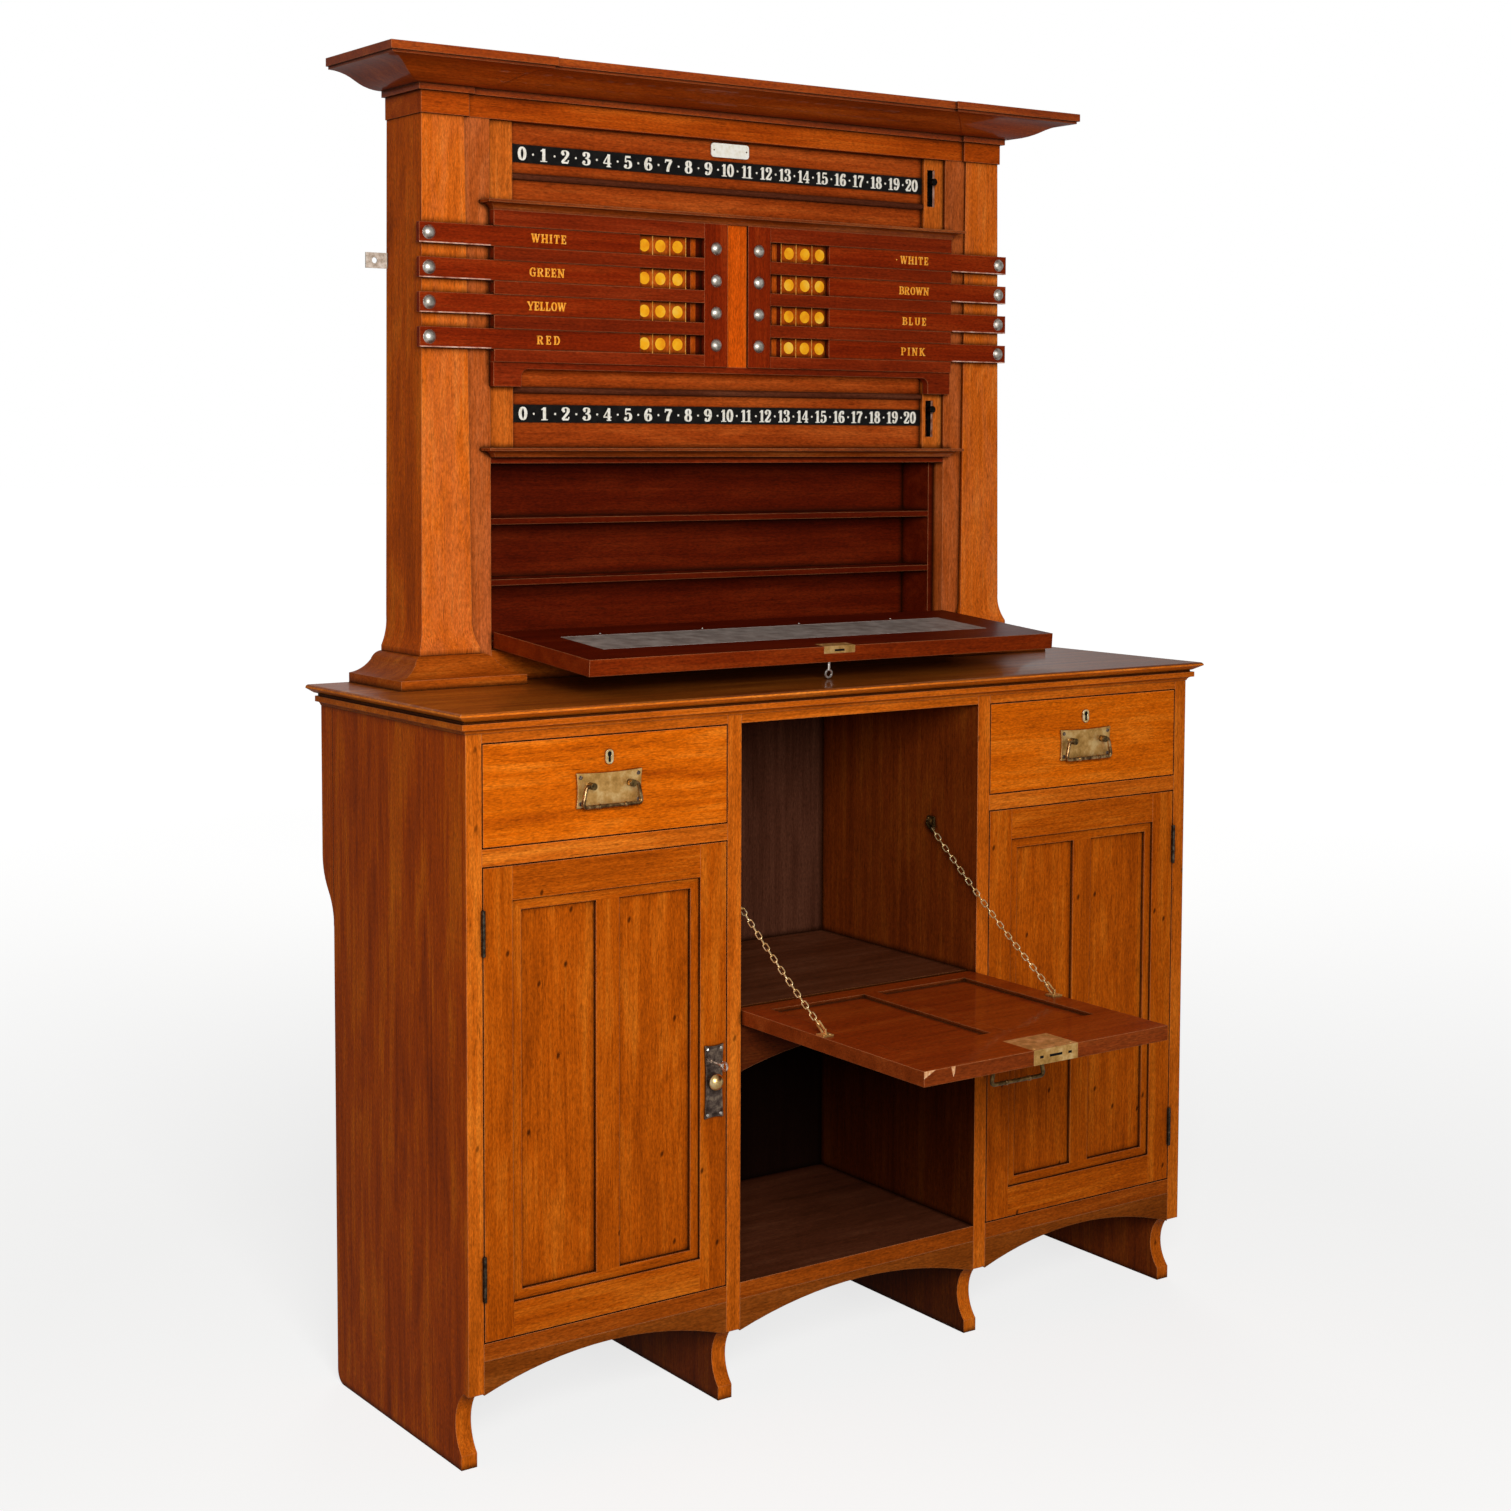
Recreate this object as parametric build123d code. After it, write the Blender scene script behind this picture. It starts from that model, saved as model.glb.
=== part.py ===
from build123d import *
from math import atan2, degrees, hypot
import os

os.makedirs("parts", exist_ok=True)

# Base cupboard, in millimetres
carcass_width = 1222.0
carcass_height = 920.0
side_depth = 368.0
panel = 22.0
back_thickness = 8.0
bay_width = 406.0
floor_top = 162.0
top_rail_height = 12.0
drawer_opening = 130.0
rail_depth = 40.0
runner_width = 16.0
gap = 1.6

# Feet: the lower front edge of every upright is cut to a hollow that ends in a toe
foot_height = 99.0
foot_soffit = 14.0
foot_hollow = 18.0
toe_setback = 19.0
toe_height = 18.0
heel_radius = 18.0

# Arched aprons
apron_thickness = 16.0
apron_end_drop = 43.0
apron_middle_drop = 12.0
shelf_apron_setback = 6.0
shelf_apron_end_drop = 63.0
shelf_apron_middle_drop = 34.0

# Strips behind the sides that hold the base clear of a skirting board
strip_depth = 34.0
strip_length = 295.0
strip_curve = 92.0
strip_bow = 4.2

# Top of the base
top_thickness = 11.5
top_front_overhang = 20.0
top_side_overhang = 17.5
top_depth = 433.5
nosing_radius = 4.4
nosing_bevel = 12.5
moulding_height = 16.0
moulding_overhang = 9.0
moulding_neck = 4.5
moulding_neck_height = 3.0
moulding_fillet = 7.5
moulding_foot = 1.0
moulding_hollow = 2.0

# Framed doors
door_thickness = 20.0
door_stile = 41.0
door_rail = 43.0
inner_frame_width = 13.5
inner_frame_recess = 3.0
muntin_width = 35.0
panel_recess = 7.0
panel_board = 8.0

# Butt hinges
hinge_length = 57.0
knuckle_radius = 2.2
pin_radius = 1.0
pin_clearance = 0.05
knuckle_offset = 2.4
knuckle_gap = 0.3
leaf_thickness = 1.2
leaf_width = 16.0
door_hinge_inset = 53.0
upper_hinge_place = 290.0

# Drawers
drawer_front_thickness = 20.0
drawer_board = 10.0
drawer_bottom = 6.0
drawer_bottom_lift = 8.0
drawer_depth = 335.0
drawer_side_drop = 14.0
running_gap = 0.3

# Brass drop handles
plate_width = 97.0
plate_height = 44.0
plate_thickness = 2.0
plate_bow = 1.8
plate_drop = 69.0
post_spacing = 58.6
post_radius = 4.6
post_length = 13.0
post_rise = 5.5
bail_stand_off = 9.0
bail_radius = 2.6
bail_clearance = 0.07
bail_drop = 26.0
bail_half_width = 44.0
bail_shoulder = 38.0
bail_pin_end = 24.0
bail_bend = 4.5
keyhole_plate_width = 11.5
keyhole_plate_height = 19.0
keyhole_plate_drop = 29.0
keyhole_round = 2.8
keyhole_slot_width = 3.2
keyhole_slot_length = 8.0

# Door knobs, knob plates and keys
knob_plate_width = 29.0
knob_plate_height = 97.0
knob_plate_inset = 5.5
knob_height = 440.0
knob_radius = 11.0
knob_neck_radius = 4.5
knob_neck_length = 5.5
knob_face_rise = 7.0
knob_back_rise = 4.0
keyhole_rise = 25.0
key_shank_radius = 2.2
key_hole_clearance = 0.3
key_reach = 20.0
key_depth = 12.0
bow_outer = 6.5
bow_inner = 4.0
bow_thickness = 2.4

# Lower flap, which pivots on pins at half its thickness
lower_thickness = 19.0
lower_pivot_height = 518.5
lower_top_gap = 3.0
lower_side_gap = 1.0
lower_stile = 36.0
lower_free_rail = 99.0
lower_pivot_rail = 28.0
lower_muntin = 24.0
lower_recess = 5.0
pivot_radius = 3.0
pivot_length = 8.0
pivot_inset = 12.0
lower_lock_width = 73.0
lower_lock_depth = 58.0
lower_lock_offset = 9.0
lock_plate = 2.0
flap_handle_drop = 63.5

# Chains of the lower flap
eye_plate = 16.0
eye_plate_drop = 4.0
eye_from_edge = 9.0
flap_eye_reach = 163.0
flap_eye_rise = 9.0
wall_eye_setback = 92.0
wall_eye_height = 725.0
wall_stem_setback = 6.9
wall_stem_height = 6.6
link_pitch = 16.0
link_wire = 2.2
link_width = 8.6
link_play = 0.4
link_corner_share = 0.25

# Upper part, with distances back from the front of the base
column_spread = 939.0
column_top_width = 64.0
column_base_width = 76.0
column_top_setback = 312.7
column_base_setback = 309.0
collar_width = 91.6
collar_setback = 299.6
collar_height = 7.0
flare_height = 41.0
flare_hollow = 2.6
plinth_width = 189.0
plinth_setback = 258.8
plinth_fillet = 13.0
plinth_bell = 28.0
bell_turn_width = 16.0
bell_turn_height = 16.8
bell_shoulder = 2.9
bell_hollow = 3.6
upper_back_board = 11.5
stile_width = 33.0
stile_setback = 315.0

# Heights of the upper part, stacked from the base top
sill_height = 42.5
compartment_height = 254.0
compartment_head = 8.5
small_cornice_height = 12.5
lower_number_height = 83.0
housing_apron_height = 33.0
housing_bottom_rail = 17.3
bar_rows = 4
bar_height = 27.0
bar_pitch = 45.8
housing_top_rail = 21.7
upper_number_height = 109.1
frieze_height = 29.5

# Frieze and cornice
frieze_block_width = 72.0
frieze_block_setback = 309.5
frieze_setback = 314.0
bed_height = 8.5
bed_projection = 5.5
ogee_height = 22.0
ogee_start = 9.0
ogee_end = 82.0
ogee_bow = 2.6
bead_height = 3.6
bead_projection = 83.5
cornice_fillet = 11.0
cornice_projection = 87.0

# Number boards, strips and pointer rails
frame_stile_width = 38.0
frame_setback = 320.0
number_setback = 327.0
number_board = 8.0
number_strip_height = 24.0
number_strip_thickness = 1.5
upper_strip_lift = 55.8
lower_strip_lift = 35.2
pointer_height = 8.0
pointer_depth = 6.0
upper_pointer_lift = 32.5
lower_pointer_lift = 75.0

# Pegs that slide in upright slots
peg_slot_width = 14.5
peg_slot_length = 55.5
peg_slot_inset = 13.4
upper_slot_lift = 37.0
lower_slot_lift = 18.0
upper_peg_lift = 37.0
lower_peg_lift = 42.0
peg_radius = 3.2
peg_knob_radius = 5.2
peg_knob_length = 9.0
peg_tongue_recess = 4.0
peg_plate_height = 24.0
peg_plate_width = 22.0
peg_plate_thickness = 3.0
peg_play = 0.3

# Score housing and sliding bars
housing_lap = 1.5
housing_setback = 300.5
housing_back = 3.0
window_inner = 58.0
window_outer = 166.0
centre_strip_width = 36.0
centre_strip_recess = 2.2
centre_strip_gap = 1.2
bar_length = 345.5
bar_thickness = 8.0
bar_recess = 1.5
bar_clearance = 0.4
tongue_length = 120.0
tongue_height = 2.6
tongue_thickness = 2.8
tongue_recess = 2.6
groove_play = 0.2
life_strip = 1.6
life_strip_lap = 6.0
stud_radius = 9.3
stud_height = 5.5
stud_end = 14.5
fixed_stud_place = 37.4
apron_end_width = 43.0
apron_notch_radius = 11.0
apron_bridge = 9.0
apron_board = 12.0
small_cornice_projection = 15.0
small_cornice_fillet = 4.0
small_cornice_hollow = 3.4

# Ball compartment
side_stop = 10.0
flap_rebate = 23.0
compartment_floor = 10.5
shelf_count = 2
shelf_spacing = 84.0
shelf_board = 8.5
ball_count = 11
ball_pitch = 64.8
seat_radius = 15.0
seat_bottom_radius = 9.0
seat_depth = 3.0

# Upper flap, hung on butt hinges along its lower outer edge
upper_thickness = 22.0
upper_side_gap = 1.0
upper_top_gap = 2.5
upper_open_angle = 94.5
slate_width = 666.0
slate_height = 108.0
slate_lift = 68.0
slate_thickness = 4.0
upper_lock_width = 53.0
upper_lock_depth = 22.0
upper_lock_edge = 10.0
upper_lock_offset = 4.5
upper_key_offset = 2.5
upper_key_inset = 20.0
upper_key_reach = 14.5

# Wall plates
wall_plate_width = 62.0
wall_plate_height = 21.0
wall_plate_thickness = 2.0
wall_plate_height_above_floor = 1517.5
wall_plate_spread = 1008.0
wall_hole_radius = 4.0
wall_hole_spread = 1043.6

# Places that follow from the sizes above
half = carcass_width / 2
inner = half - panel
bay = bay_width / 2
divider_outer = bay + panel
drawer_top = carcass_height - top_rail_height
drawer_floor = drawer_top - drawer_opening
door_head = drawer_floor - panel
floor_under = floor_top - panel
lower_reach = drawer_top - lower_top_gap - lower_pivot_height
base_height = carcass_height + moulding_height + top_thickness

# The open lower flap reaches furthest forward and the base top furthest back, about a middle at y = 0
top_back = top_depth - top_front_overhang
front = (lower_reach - lower_thickness / 2 - top_back) / 2
back_plane = front + top_back
carcass_back = front + side_depth
inside_back = carcass_back - back_thickness
lower_pivot_y = front + lower_thickness / 2
flap_handle_height = drawer_top - flap_handle_drop

column_x = column_spread / 2
stile_front = front + stile_setback
stile_outer = column_x - column_base_width / 2
stile_inner = stile_outer - stile_width
upper_inside_back = back_plane - upper_back_board
number_half = stile_inner - frame_stile_width
housing_half = stile_inner + housing_lap
housing_front = front + housing_setback
bar_front = housing_front + bar_recess
bar_back = bar_front + bar_thickness

sill_top = base_height + sill_height
compartment_top = sill_top + compartment_height
lower_number_floor = compartment_top + compartment_head + small_cornice_height
apron_floor = lower_number_floor + lower_number_height
housing_floor = apron_floor + housing_apron_height
lowest_bar = housing_floor + housing_bottom_rail + bar_height / 2
highest_bar = lowest_bar + (bar_rows - 1) * bar_pitch
housing_top = highest_bar + bar_height / 2 + housing_top_rail
upper_number_floor = housing_top + small_cornice_height
column_top = upper_number_floor + upper_number_height
frieze_top = column_top + frieze_height

upper_hinge_y = stile_front - knuckle_offset
upper_hinge_z = sill_top + gap / 2
upper_flap_floor = sill_top + gap
upper_flap_top = compartment_top - upper_top_gap

# Height of a quarter circle above its chord, for a radius of one
quarter_bow = 1 - 2 ** -0.5


def block(x_span, y_span, z_span):
    spans = (x_span, y_span, z_span)
    middle = [(low + high) / 2 for low, high in spans]
    return Pos(*middle) * Box(*[high - low for low, high in spans])


def outline(*lines):
    return make_face([edge for line in lines for edge in line.edges()])


def prism_x(face, x_span):
    return Pos(X=x_span[0]) * extrude(Plane.YZ * face, x_span[1] - x_span[0])


def prism_y(face, y_span):
    return Pos(Y=y_span[1]) * extrude(Plane.XZ * face, y_span[1] - y_span[0])


# Moulding that returns round both ends: edge outlines, drawn from low to high, meet in mitres
def mitred(left, right, fore, back):
    low = fore[0] @ 0
    high = fore[-1] @ 1
    ends = outline(*left, *right, Line(left[0] @ 0, right[0] @ 0), Line(left[-1] @ 1, right[-1] @ 1))
    side = outline(*fore, Polyline(high, (back, high.Y), (back, low.Y), low))
    width = ends.bounding_box()
    depth = side.bounding_box()
    return prism_y(ends, (depth.min.X, back)) & prism_x(side, (width.min.X, width.max.X))


def ogee(start, end, bow):
    middle = ((start[0] + end[0]) / 2, (start[1] + end[1]) / 2)
    return SagittaArc(start, middle, bow), SagittaArc(middle, end, -bow)


def mirrored(shape):
    return mirror(shape, Plane.YZ)


def rod_x(radius, x_span, y, z):
    length = x_span[1] - x_span[0]
    return Pos((x_span[0] + x_span[1]) / 2, y, z) * Rot(0, 90, 0) * Cylinder(radius, length)


def rod_y(radius, x, y_span, z):
    length = y_span[1] - y_span[0]
    return Pos(x, (y_span[0] + y_span[1]) / 2, z) * Rot(90, 0, 0) * Cylinder(radius, length)


def turned(shape, y, z, angle):
    return Pos(0, y, z) * Rot(angle, 0, 0) * Pos(0, -y, -z) * shape


def lower_open(shape):
    return turned(shape, lower_pivot_y, lower_pivot_height, 90)


def upper_open(shape):
    return turned(shape, upper_hinge_y, upper_hinge_z, upper_open_angle)


def write(name, *shapes):
    solids = [solid for shape in shapes for solid in shape.solids()]
    export_step(Compound(solids), f"parts/{name}.step")


# Butt hinge about an upright axis at the origin: fixed leaf towards -x, moving leaf towards +x
def leaf_thick(side):
    return sorted((side * gap / 2, side * (gap / 2 + leaf_thickness)))


def leaf_recess(side):
    y_span = (knuckle_offset, knuckle_offset + leaf_width)
    return block(leaf_thick(side), y_span, (-hinge_length / 2, hinge_length / 2))


def hinge_leaf(side, thirds):
    x_span = leaf_thick(side)
    leaf = leaf_recess(side)
    third = hinge_length / 3
    for place in thirds:
        z_span = (place * third - third / 2 + knuckle_gap / 2, place * third + third / 2 - knuckle_gap / 2)
        leaf += block(x_span, (0, knuckle_offset), z_span)
        leaf += Pos(Z=place * third) * Cylinder(knuckle_radius, z_span[1] - z_span[0])
    return leaf


def fixed_leaf():
    return hinge_leaf(-1, (-1, 1)) - Cylinder(pin_radius + pin_clearance, hinge_length)


def moving_leaf():
    return hinge_leaf(1, (0,)) + Cylinder(pin_radius, hinge_length - knuckle_gap)


low_hinge = floor_top + door_hinge_inset + hinge_length / 2
high_hinge = door_head - door_hinge_inset - hinge_length / 2
left_door_hinges = [Pos(-inner + gap / 2, front - knuckle_offset, z) for z in (low_hinge, high_hinge)]
upper_hinges = [Pos(x, upper_hinge_y, upper_hinge_z) * Rot(0, -90, 0)
                for x in (-upper_hinge_place, upper_hinge_place)]


# Uprights of the base
def upright_outline(depth):
    back = front + depth
    soffit = (front + foot_soffit, foot_height)
    toe = (front + toe_setback, toe_height)
    heel_front = (back - heel_radius, 0)
    heel_back = (back, heel_radius)
    return outline(
        SagittaArc(soffit, toe, foot_hollow),
        Polyline(toe, (front + toe_setback, 0), heel_front),
        SagittaArc(heel_front, heel_back, -heel_radius * quarter_bow),
        Polyline(heel_back, (back, carcass_height), (front, carcass_height), (front, foot_height), soffit),
    )


left_side = prism_x(upright_outline(side_depth), (-half, -inner))
for hinge in left_door_hinges:
    left_side -= hinge * leaf_recess(-1)
write("left_side_panel", left_side)
write("right_side_panel", mirrored(left_side))

left_divider = prism_x(upright_outline(side_depth - back_thickness), (-divider_outer, -bay))
pivot_bore = pivot_radius + pin_clearance
left_divider -= rod_x(pivot_bore, (-bay - pivot_length, -bay), lower_pivot_y, lower_pivot_height)
write("left_divider", left_divider)
write("right_divider", mirrored(left_divider))

# Rails, runners, boards and aprons of the base
left_bay = (-inner, -divider_outer)
centre_bay = (-bay, bay)
right_bay = (divider_outer, inner)
bays = (left_bay, centre_bay, right_bay)
rail_y = (front, front + rail_depth)
runner_y = (front + rail_depth, inside_back)
rails = [block(span, rail_y, (drawer_top, carcass_height)) for span in bays]
rails += [block(span, rail_y, (door_head, drawer_floor)) for span in (left_bay, right_bay)]
for low, high in (left_bay, right_bay):
    rails.append(block((low, low + runner_width), runner_y, (door_head, drawer_floor)))
    rails.append(block((high - runner_width, high), runner_y, (door_head, drawer_floor)))
write("drawer_rails", *rails)

mid_shelf_top = lower_pivot_height + lower_thickness / 2
mid_shelf_front = front + lower_thickness + lower_side_gap
floors = [block(span, (front, inside_back), (floor_under, floor_top)) for span in bays]
floors.append(block(centre_bay, (mid_shelf_front, inside_back), (mid_shelf_top - panel, mid_shelf_top)))
write("floor_boards", *floors)


def apron(x_span, y_span, top, end_drop, middle_drop):
    low, high = x_span
    crown = ((low + high) / 2, top - middle_drop)
    arch = ThreePointArc((low, top - end_drop), crown, (high, top - end_drop))
    sides = Polyline((high, top - end_drop), (high, top), (low, top), (low, top - end_drop))
    return prism_y(outline(arch, sides), y_span)


apron_y = (front, front + apron_thickness)
aprons = [apron(span, apron_y, floor_under, apron_end_drop, apron_middle_drop) for span in bays]
shelf_apron_y = (front + shelf_apron_setback, mid_shelf_front + apron_thickness - shelf_apron_setback)
aprons.append(apron(centre_bay, shelf_apron_y, mid_shelf_top - panel,
                    shelf_apron_end_drop, shelf_apron_middle_drop))
write("aprons", *aprons)

# Back of the base, and the strips behind its sides with their ogee lower ends
strip_back = carcass_back + strip_depth
strip_floor = carcass_height - strip_length
curve_top = strip_floor + strip_curve
strip_edge = Polyline((carcass_back, strip_floor), (carcass_back, carcass_height),
                      (strip_back, carcass_height), (strip_back, curve_top))
strip_end = ogee((strip_back, curve_top), (carcass_back, strip_floor), strip_bow)
left_strip = prism_x(outline(*strip_end, strip_edge), (-half, -inner))
back_board = block((-inner, inner), (inside_back, carcass_back), (floor_under, carcass_height))
write("base_back", back_board, left_strip, mirrored(left_strip))

# Moulded top: the same edge outline runs along the front and returns along both ends
top_under = base_height - top_thickness
top_half = half + top_side_overhang
top_front = front - top_front_overhang


def nosing(edge, outward):
    neck = (edge - outward * nosing_bevel, top_under)
    lip = (edge, base_height - nosing_radius)
    brow = (edge - outward * nosing_radius, base_height)
    return Line(neck, lip), SagittaArc(lip, brow, -outward * nosing_radius * quarter_bow)


write("base_top", mitred(nosing(-top_half, -1), nosing(top_half, 1), nosing(top_front, -1), back_plane))

fillet_floor = top_under - moulding_neck_height - moulding_fillet


def moulding_edge(face, outward):
    foot = (face + outward * moulding_foot, carcass_height)
    lip = (face + outward * moulding_overhang, fillet_floor)
    ledge = top_under - moulding_neck_height
    neck = face + outward * (moulding_overhang - moulding_neck)
    fillet = Polyline(lip, (lip[0], ledge), (neck, ledge), (neck, top_under))
    return SagittaArc(foot, lip, outward * moulding_hollow), fillet


write("top_moulding", mitred(moulding_edge(-half, -1), moulding_edge(half, 1),
                             moulding_edge(front, -1), strip_back))

# Drawers: front, two sides, back and bottom as separate boards
left_front_span = (-inner + gap, -divider_outer - gap)
drawer_front_z = (drawer_floor + gap, drawer_top - gap)
box_y = (front + drawer_front_thickness, front + drawer_front_thickness + drawer_depth)
box_z = (drawer_floor + running_gap, drawer_top - drawer_side_drop)
side_low = (left_front_span[0], left_front_span[0] + drawer_board)
side_high = (left_front_span[1] - drawer_board, left_front_span[1])
between = (side_low[1], side_high[0])
bottom_z = (box_z[0] + drawer_bottom_lift, box_z[0] + drawer_bottom_lift + drawer_bottom)
left_drawer = [
    block(left_front_span, (front, front + drawer_front_thickness), drawer_front_z),
    block(side_low, box_y, box_z),
    block(side_high, box_y, box_z),
    block(between, (box_y[1] - drawer_board, box_y[1]), (bottom_z[1], box_z[1])),
    block(between, box_y, bottom_z),
]
write("left_drawer", *left_drawer)
write("right_drawer", *[mirrored(board) for board in left_drawer])


# Drop handle on a face at y = 0 that looks towards -y, with its plate centred at the origin
def eared_plate(width, height, thickness, bow):
    x = width / 2
    z = height / 2
    corners = [(-x, -z), (x, -z), (x, z), (-x, z)]
    edges = [SagittaArc(start, end, bow) for start, end in zip(corners, corners[1:] + corners[:1])]
    return prism_y(outline(*edges), (-thickness, 0))


def handle_plate():
    plate = eared_plate(plate_width, plate_height, plate_thickness, plate_bow)
    for x in (-post_spacing / 2, post_spacing / 2):
        plate += rod_y(post_radius, x, (-post_length, -plate_thickness), post_rise)
    eye_radius = bail_radius + bail_clearance
    return plate - rod_x(eye_radius, (-plate_width / 2, plate_width / 2), -bail_stand_off, post_rise)


def handle_bail():
    path = FilletPolyline(
        (-bail_pin_end, 0), (-bail_shoulder, 0), (-bail_half_width, -bail_drop),
        (bail_half_width, -bail_drop), (bail_shoulder, 0), (bail_pin_end, 0), radius=bail_bend)
    path = Pos(0, -bail_stand_off, post_rise) * (Plane.XZ * path)
    return sweep(Plane(path @ 0, z_dir=path % 0) * Circle(bail_radius), path=path)


def keyhole_plate():
    half_width = keyhole_plate_width / 2
    straight = keyhole_plate_height / 2 - half_width
    plate = block((-half_width, half_width), (-plate_thickness, 0), (-straight, straight))
    plate += rod_y(half_width, 0, (-plate_thickness, 0), straight)
    plate += rod_y(half_width, 0, (-plate_thickness, 0), -straight)
    plate -= rod_y(keyhole_round, 0, (-plate_thickness, 0), keyhole_round)
    slot_half = keyhole_slot_width / 2
    slot_z = (keyhole_round - keyhole_slot_length, keyhole_round)
    return plate - block((-slot_half, slot_half), (-plate_thickness, 0), slot_z)


# Part of a ball that rises towards -y from a rim at y = 0
def dome(radius, rise):
    ball_radius = (radius ** 2 + rise ** 2) / (2 * rise)
    shoulder = radius / 2
    shoulder_y = ball_radius - rise - (ball_radius ** 2 - shoulder ** 2) ** 0.5
    crown = ThreePointArc((0, -rise), (shoulder, shoulder_y), (radius, 0))
    return revolve(outline(crown, Polyline((radius, 0), (0, 0), (0, -rise))), Axis.Y)


drawer_middle = (inner + divider_outer) / 2
handle_z = drawer_top - plate_drop
left_handle = Pos(-drawer_middle, front, handle_z)
left_keyhole = Pos(-drawer_middle, front, drawer_top - keyhole_plate_drop)
left_drawer_fittings = [left_handle * handle_plate(), left_keyhole * keyhole_plate()]
write("left_drawer_fittings", *left_drawer_fittings)
write("right_drawer_fittings", *[mirrored(fitting) for fitting in left_drawer_fittings])
write("left_drawer_bail", left_handle * handle_bail())
write("right_drawer_bail", mirrored(left_handle * handle_bail()))

# Framed doors: stiles and rails, a recessed inner frame with its muntin, and two panels
door_x = (-inner + gap, -divider_outer - gap)
door_y = (front, front + door_thickness)
door_z = (floor_top + gap, door_head - gap)
sight_x = (door_x[0] + door_stile, door_x[1] - door_stile)
sight_z = (door_z[0] + door_rail, door_z[1] - door_rail)
door_middle = (sight_x[0] + sight_x[1]) / 2
panel_y = (front + panel_recess, front + panel_recess + panel_board)
pane_z = (sight_z[0] + inner_frame_width, sight_z[1] - inner_frame_width)
pane_spans = ((sight_x[0] + inner_frame_width, door_middle - muntin_width / 2),
              (door_middle + muntin_width / 2, sight_x[1] - inner_frame_width))
hinge_stile = block((door_x[0], sight_x[0]), door_y, door_z)
for hinge in left_door_hinges:
    hinge_stile -= hinge * leaf_recess(1)
inner_frame = block(sight_x, (front + inner_frame_recess, panel_y[0]), sight_z)
for span in pane_spans:
    inner_frame -= block(span, (front + inner_frame_recess, panel_y[0]), pane_z)
knob_x = door_x[1] - knob_plate_inset - knob_plate_width / 2
keyhole_z = knob_height + keyhole_rise
keyhole_radius = key_shank_radius + key_hole_clearance
door_keyhole = rod_y(keyhole_radius, knob_x, (front - plate_thickness, front + key_depth), keyhole_z)
left_door = [
    hinge_stile,
    block((sight_x[1], door_x[1]), door_y, door_z) - door_keyhole,
    block(sight_x, door_y, (door_z[0], sight_z[0])),
    block(sight_x, door_y, (sight_z[1], door_z[1])),
    inner_frame,
    block((sight_x[0], door_middle), panel_y, sight_z),
    block((door_middle, sight_x[1]), panel_y, sight_z),
]
write("left_door", *left_door)
write("right_door", *[mirrored(board) for board in left_door])


def door_knob():
    rim = -plate_thickness - knob_neck_length
    neck = rod_y(knob_neck_radius, 0, (rim, -plate_thickness), 0)
    head = dome(knob_radius, knob_face_rise) + mirror(dome(knob_radius, knob_back_rise), Plane.XZ)
    return neck + Pos(Y=rim) * head


knob_plate = eared_plate(knob_plate_width, knob_plate_height, plate_thickness, plate_bow)
knob_fitting = Pos(knob_x, front, knob_height) * (knob_plate + door_knob()) - door_keyhole
left_door_fittings = [knob_fitting] + [hinge * moving_leaf() for hinge in left_door_hinges]
write("left_door_fittings", *left_door_fittings)
write("right_door_fittings", *[mirrored(fitting) for fitting in left_door_fittings])


# Key along the y axis, with its round bow standing upright in front of the keyhole
def key(reach):
    shank = rod_y(key_shank_radius, 0, (-reach, key_depth - key_hole_clearance), 0)
    bow_place = -reach - bow_outer + key_shank_radius / 2
    bow = Pos(Y=bow_place) * Rot(0, 90, 0) * Cylinder(bow_outer, bow_thickness)
    return shank + bow - Pos(Y=bow_place) * Rot(0, 90, 0) * Cylinder(bow_inner, bow_thickness)


write("left_door_key", Pos(knob_x, front, keyhole_z) * key(key_reach))

# Lower flap, drawn shut and then swung open about its pivots
flap_y = (front, front + lower_thickness)
flap_half = bay - lower_side_gap
flap_top = lower_pivot_height + lower_reach
panel_top = flap_top - lower_free_rail
panel_floor = lower_pivot_height + lower_pivot_rail
pane_half = flap_half - lower_stile
flap_panel_y = (front + lower_recess, front + lower_thickness - lower_recess)
pivot_edge = rod_x(lower_thickness / 2, (-flap_half, flap_half), lower_pivot_y, lower_pivot_height)
pivot_rail = block((-flap_half, flap_half), flap_y, (lower_pivot_height, panel_floor)) + pivot_edge
for side in (-1, 1):
    pin_seat = sorted((side * (flap_half - pivot_inset), side * flap_half))
    pivot_rail -= rod_x(pivot_radius, pin_seat, lower_pivot_y, lower_pivot_height)
lock_x = (lower_lock_offset - lower_lock_width / 2, lower_lock_offset + lower_lock_width / 2)
lock_face = block(lock_x, (flap_y[1] - lock_plate, flap_y[1]), (flap_top - lower_lock_depth, flap_top))
lock_edge = block(lock_x, flap_y, (flap_top - lock_plate, flap_top))
lower_lock = lock_face + lock_edge
lower_flap = [
    pivot_rail,
    block((-flap_half, flap_half), flap_y, (panel_top, flap_top)) - lower_lock,
    block((-flap_half, -pane_half), flap_y, (panel_floor, panel_top)),
    block((pane_half, flap_half), flap_y, (panel_floor, panel_top)),
    block((-lower_muntin / 2, lower_muntin / 2), flap_y, (panel_floor, panel_top)),
    block((-pane_half, -lower_muntin / 2), flap_panel_y, (panel_floor, panel_top)),
    block((lower_muntin / 2, pane_half), flap_panel_y, (panel_floor, panel_top)),
]
write("lower_flap", *[lower_open(board) for board in lower_flap])

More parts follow.
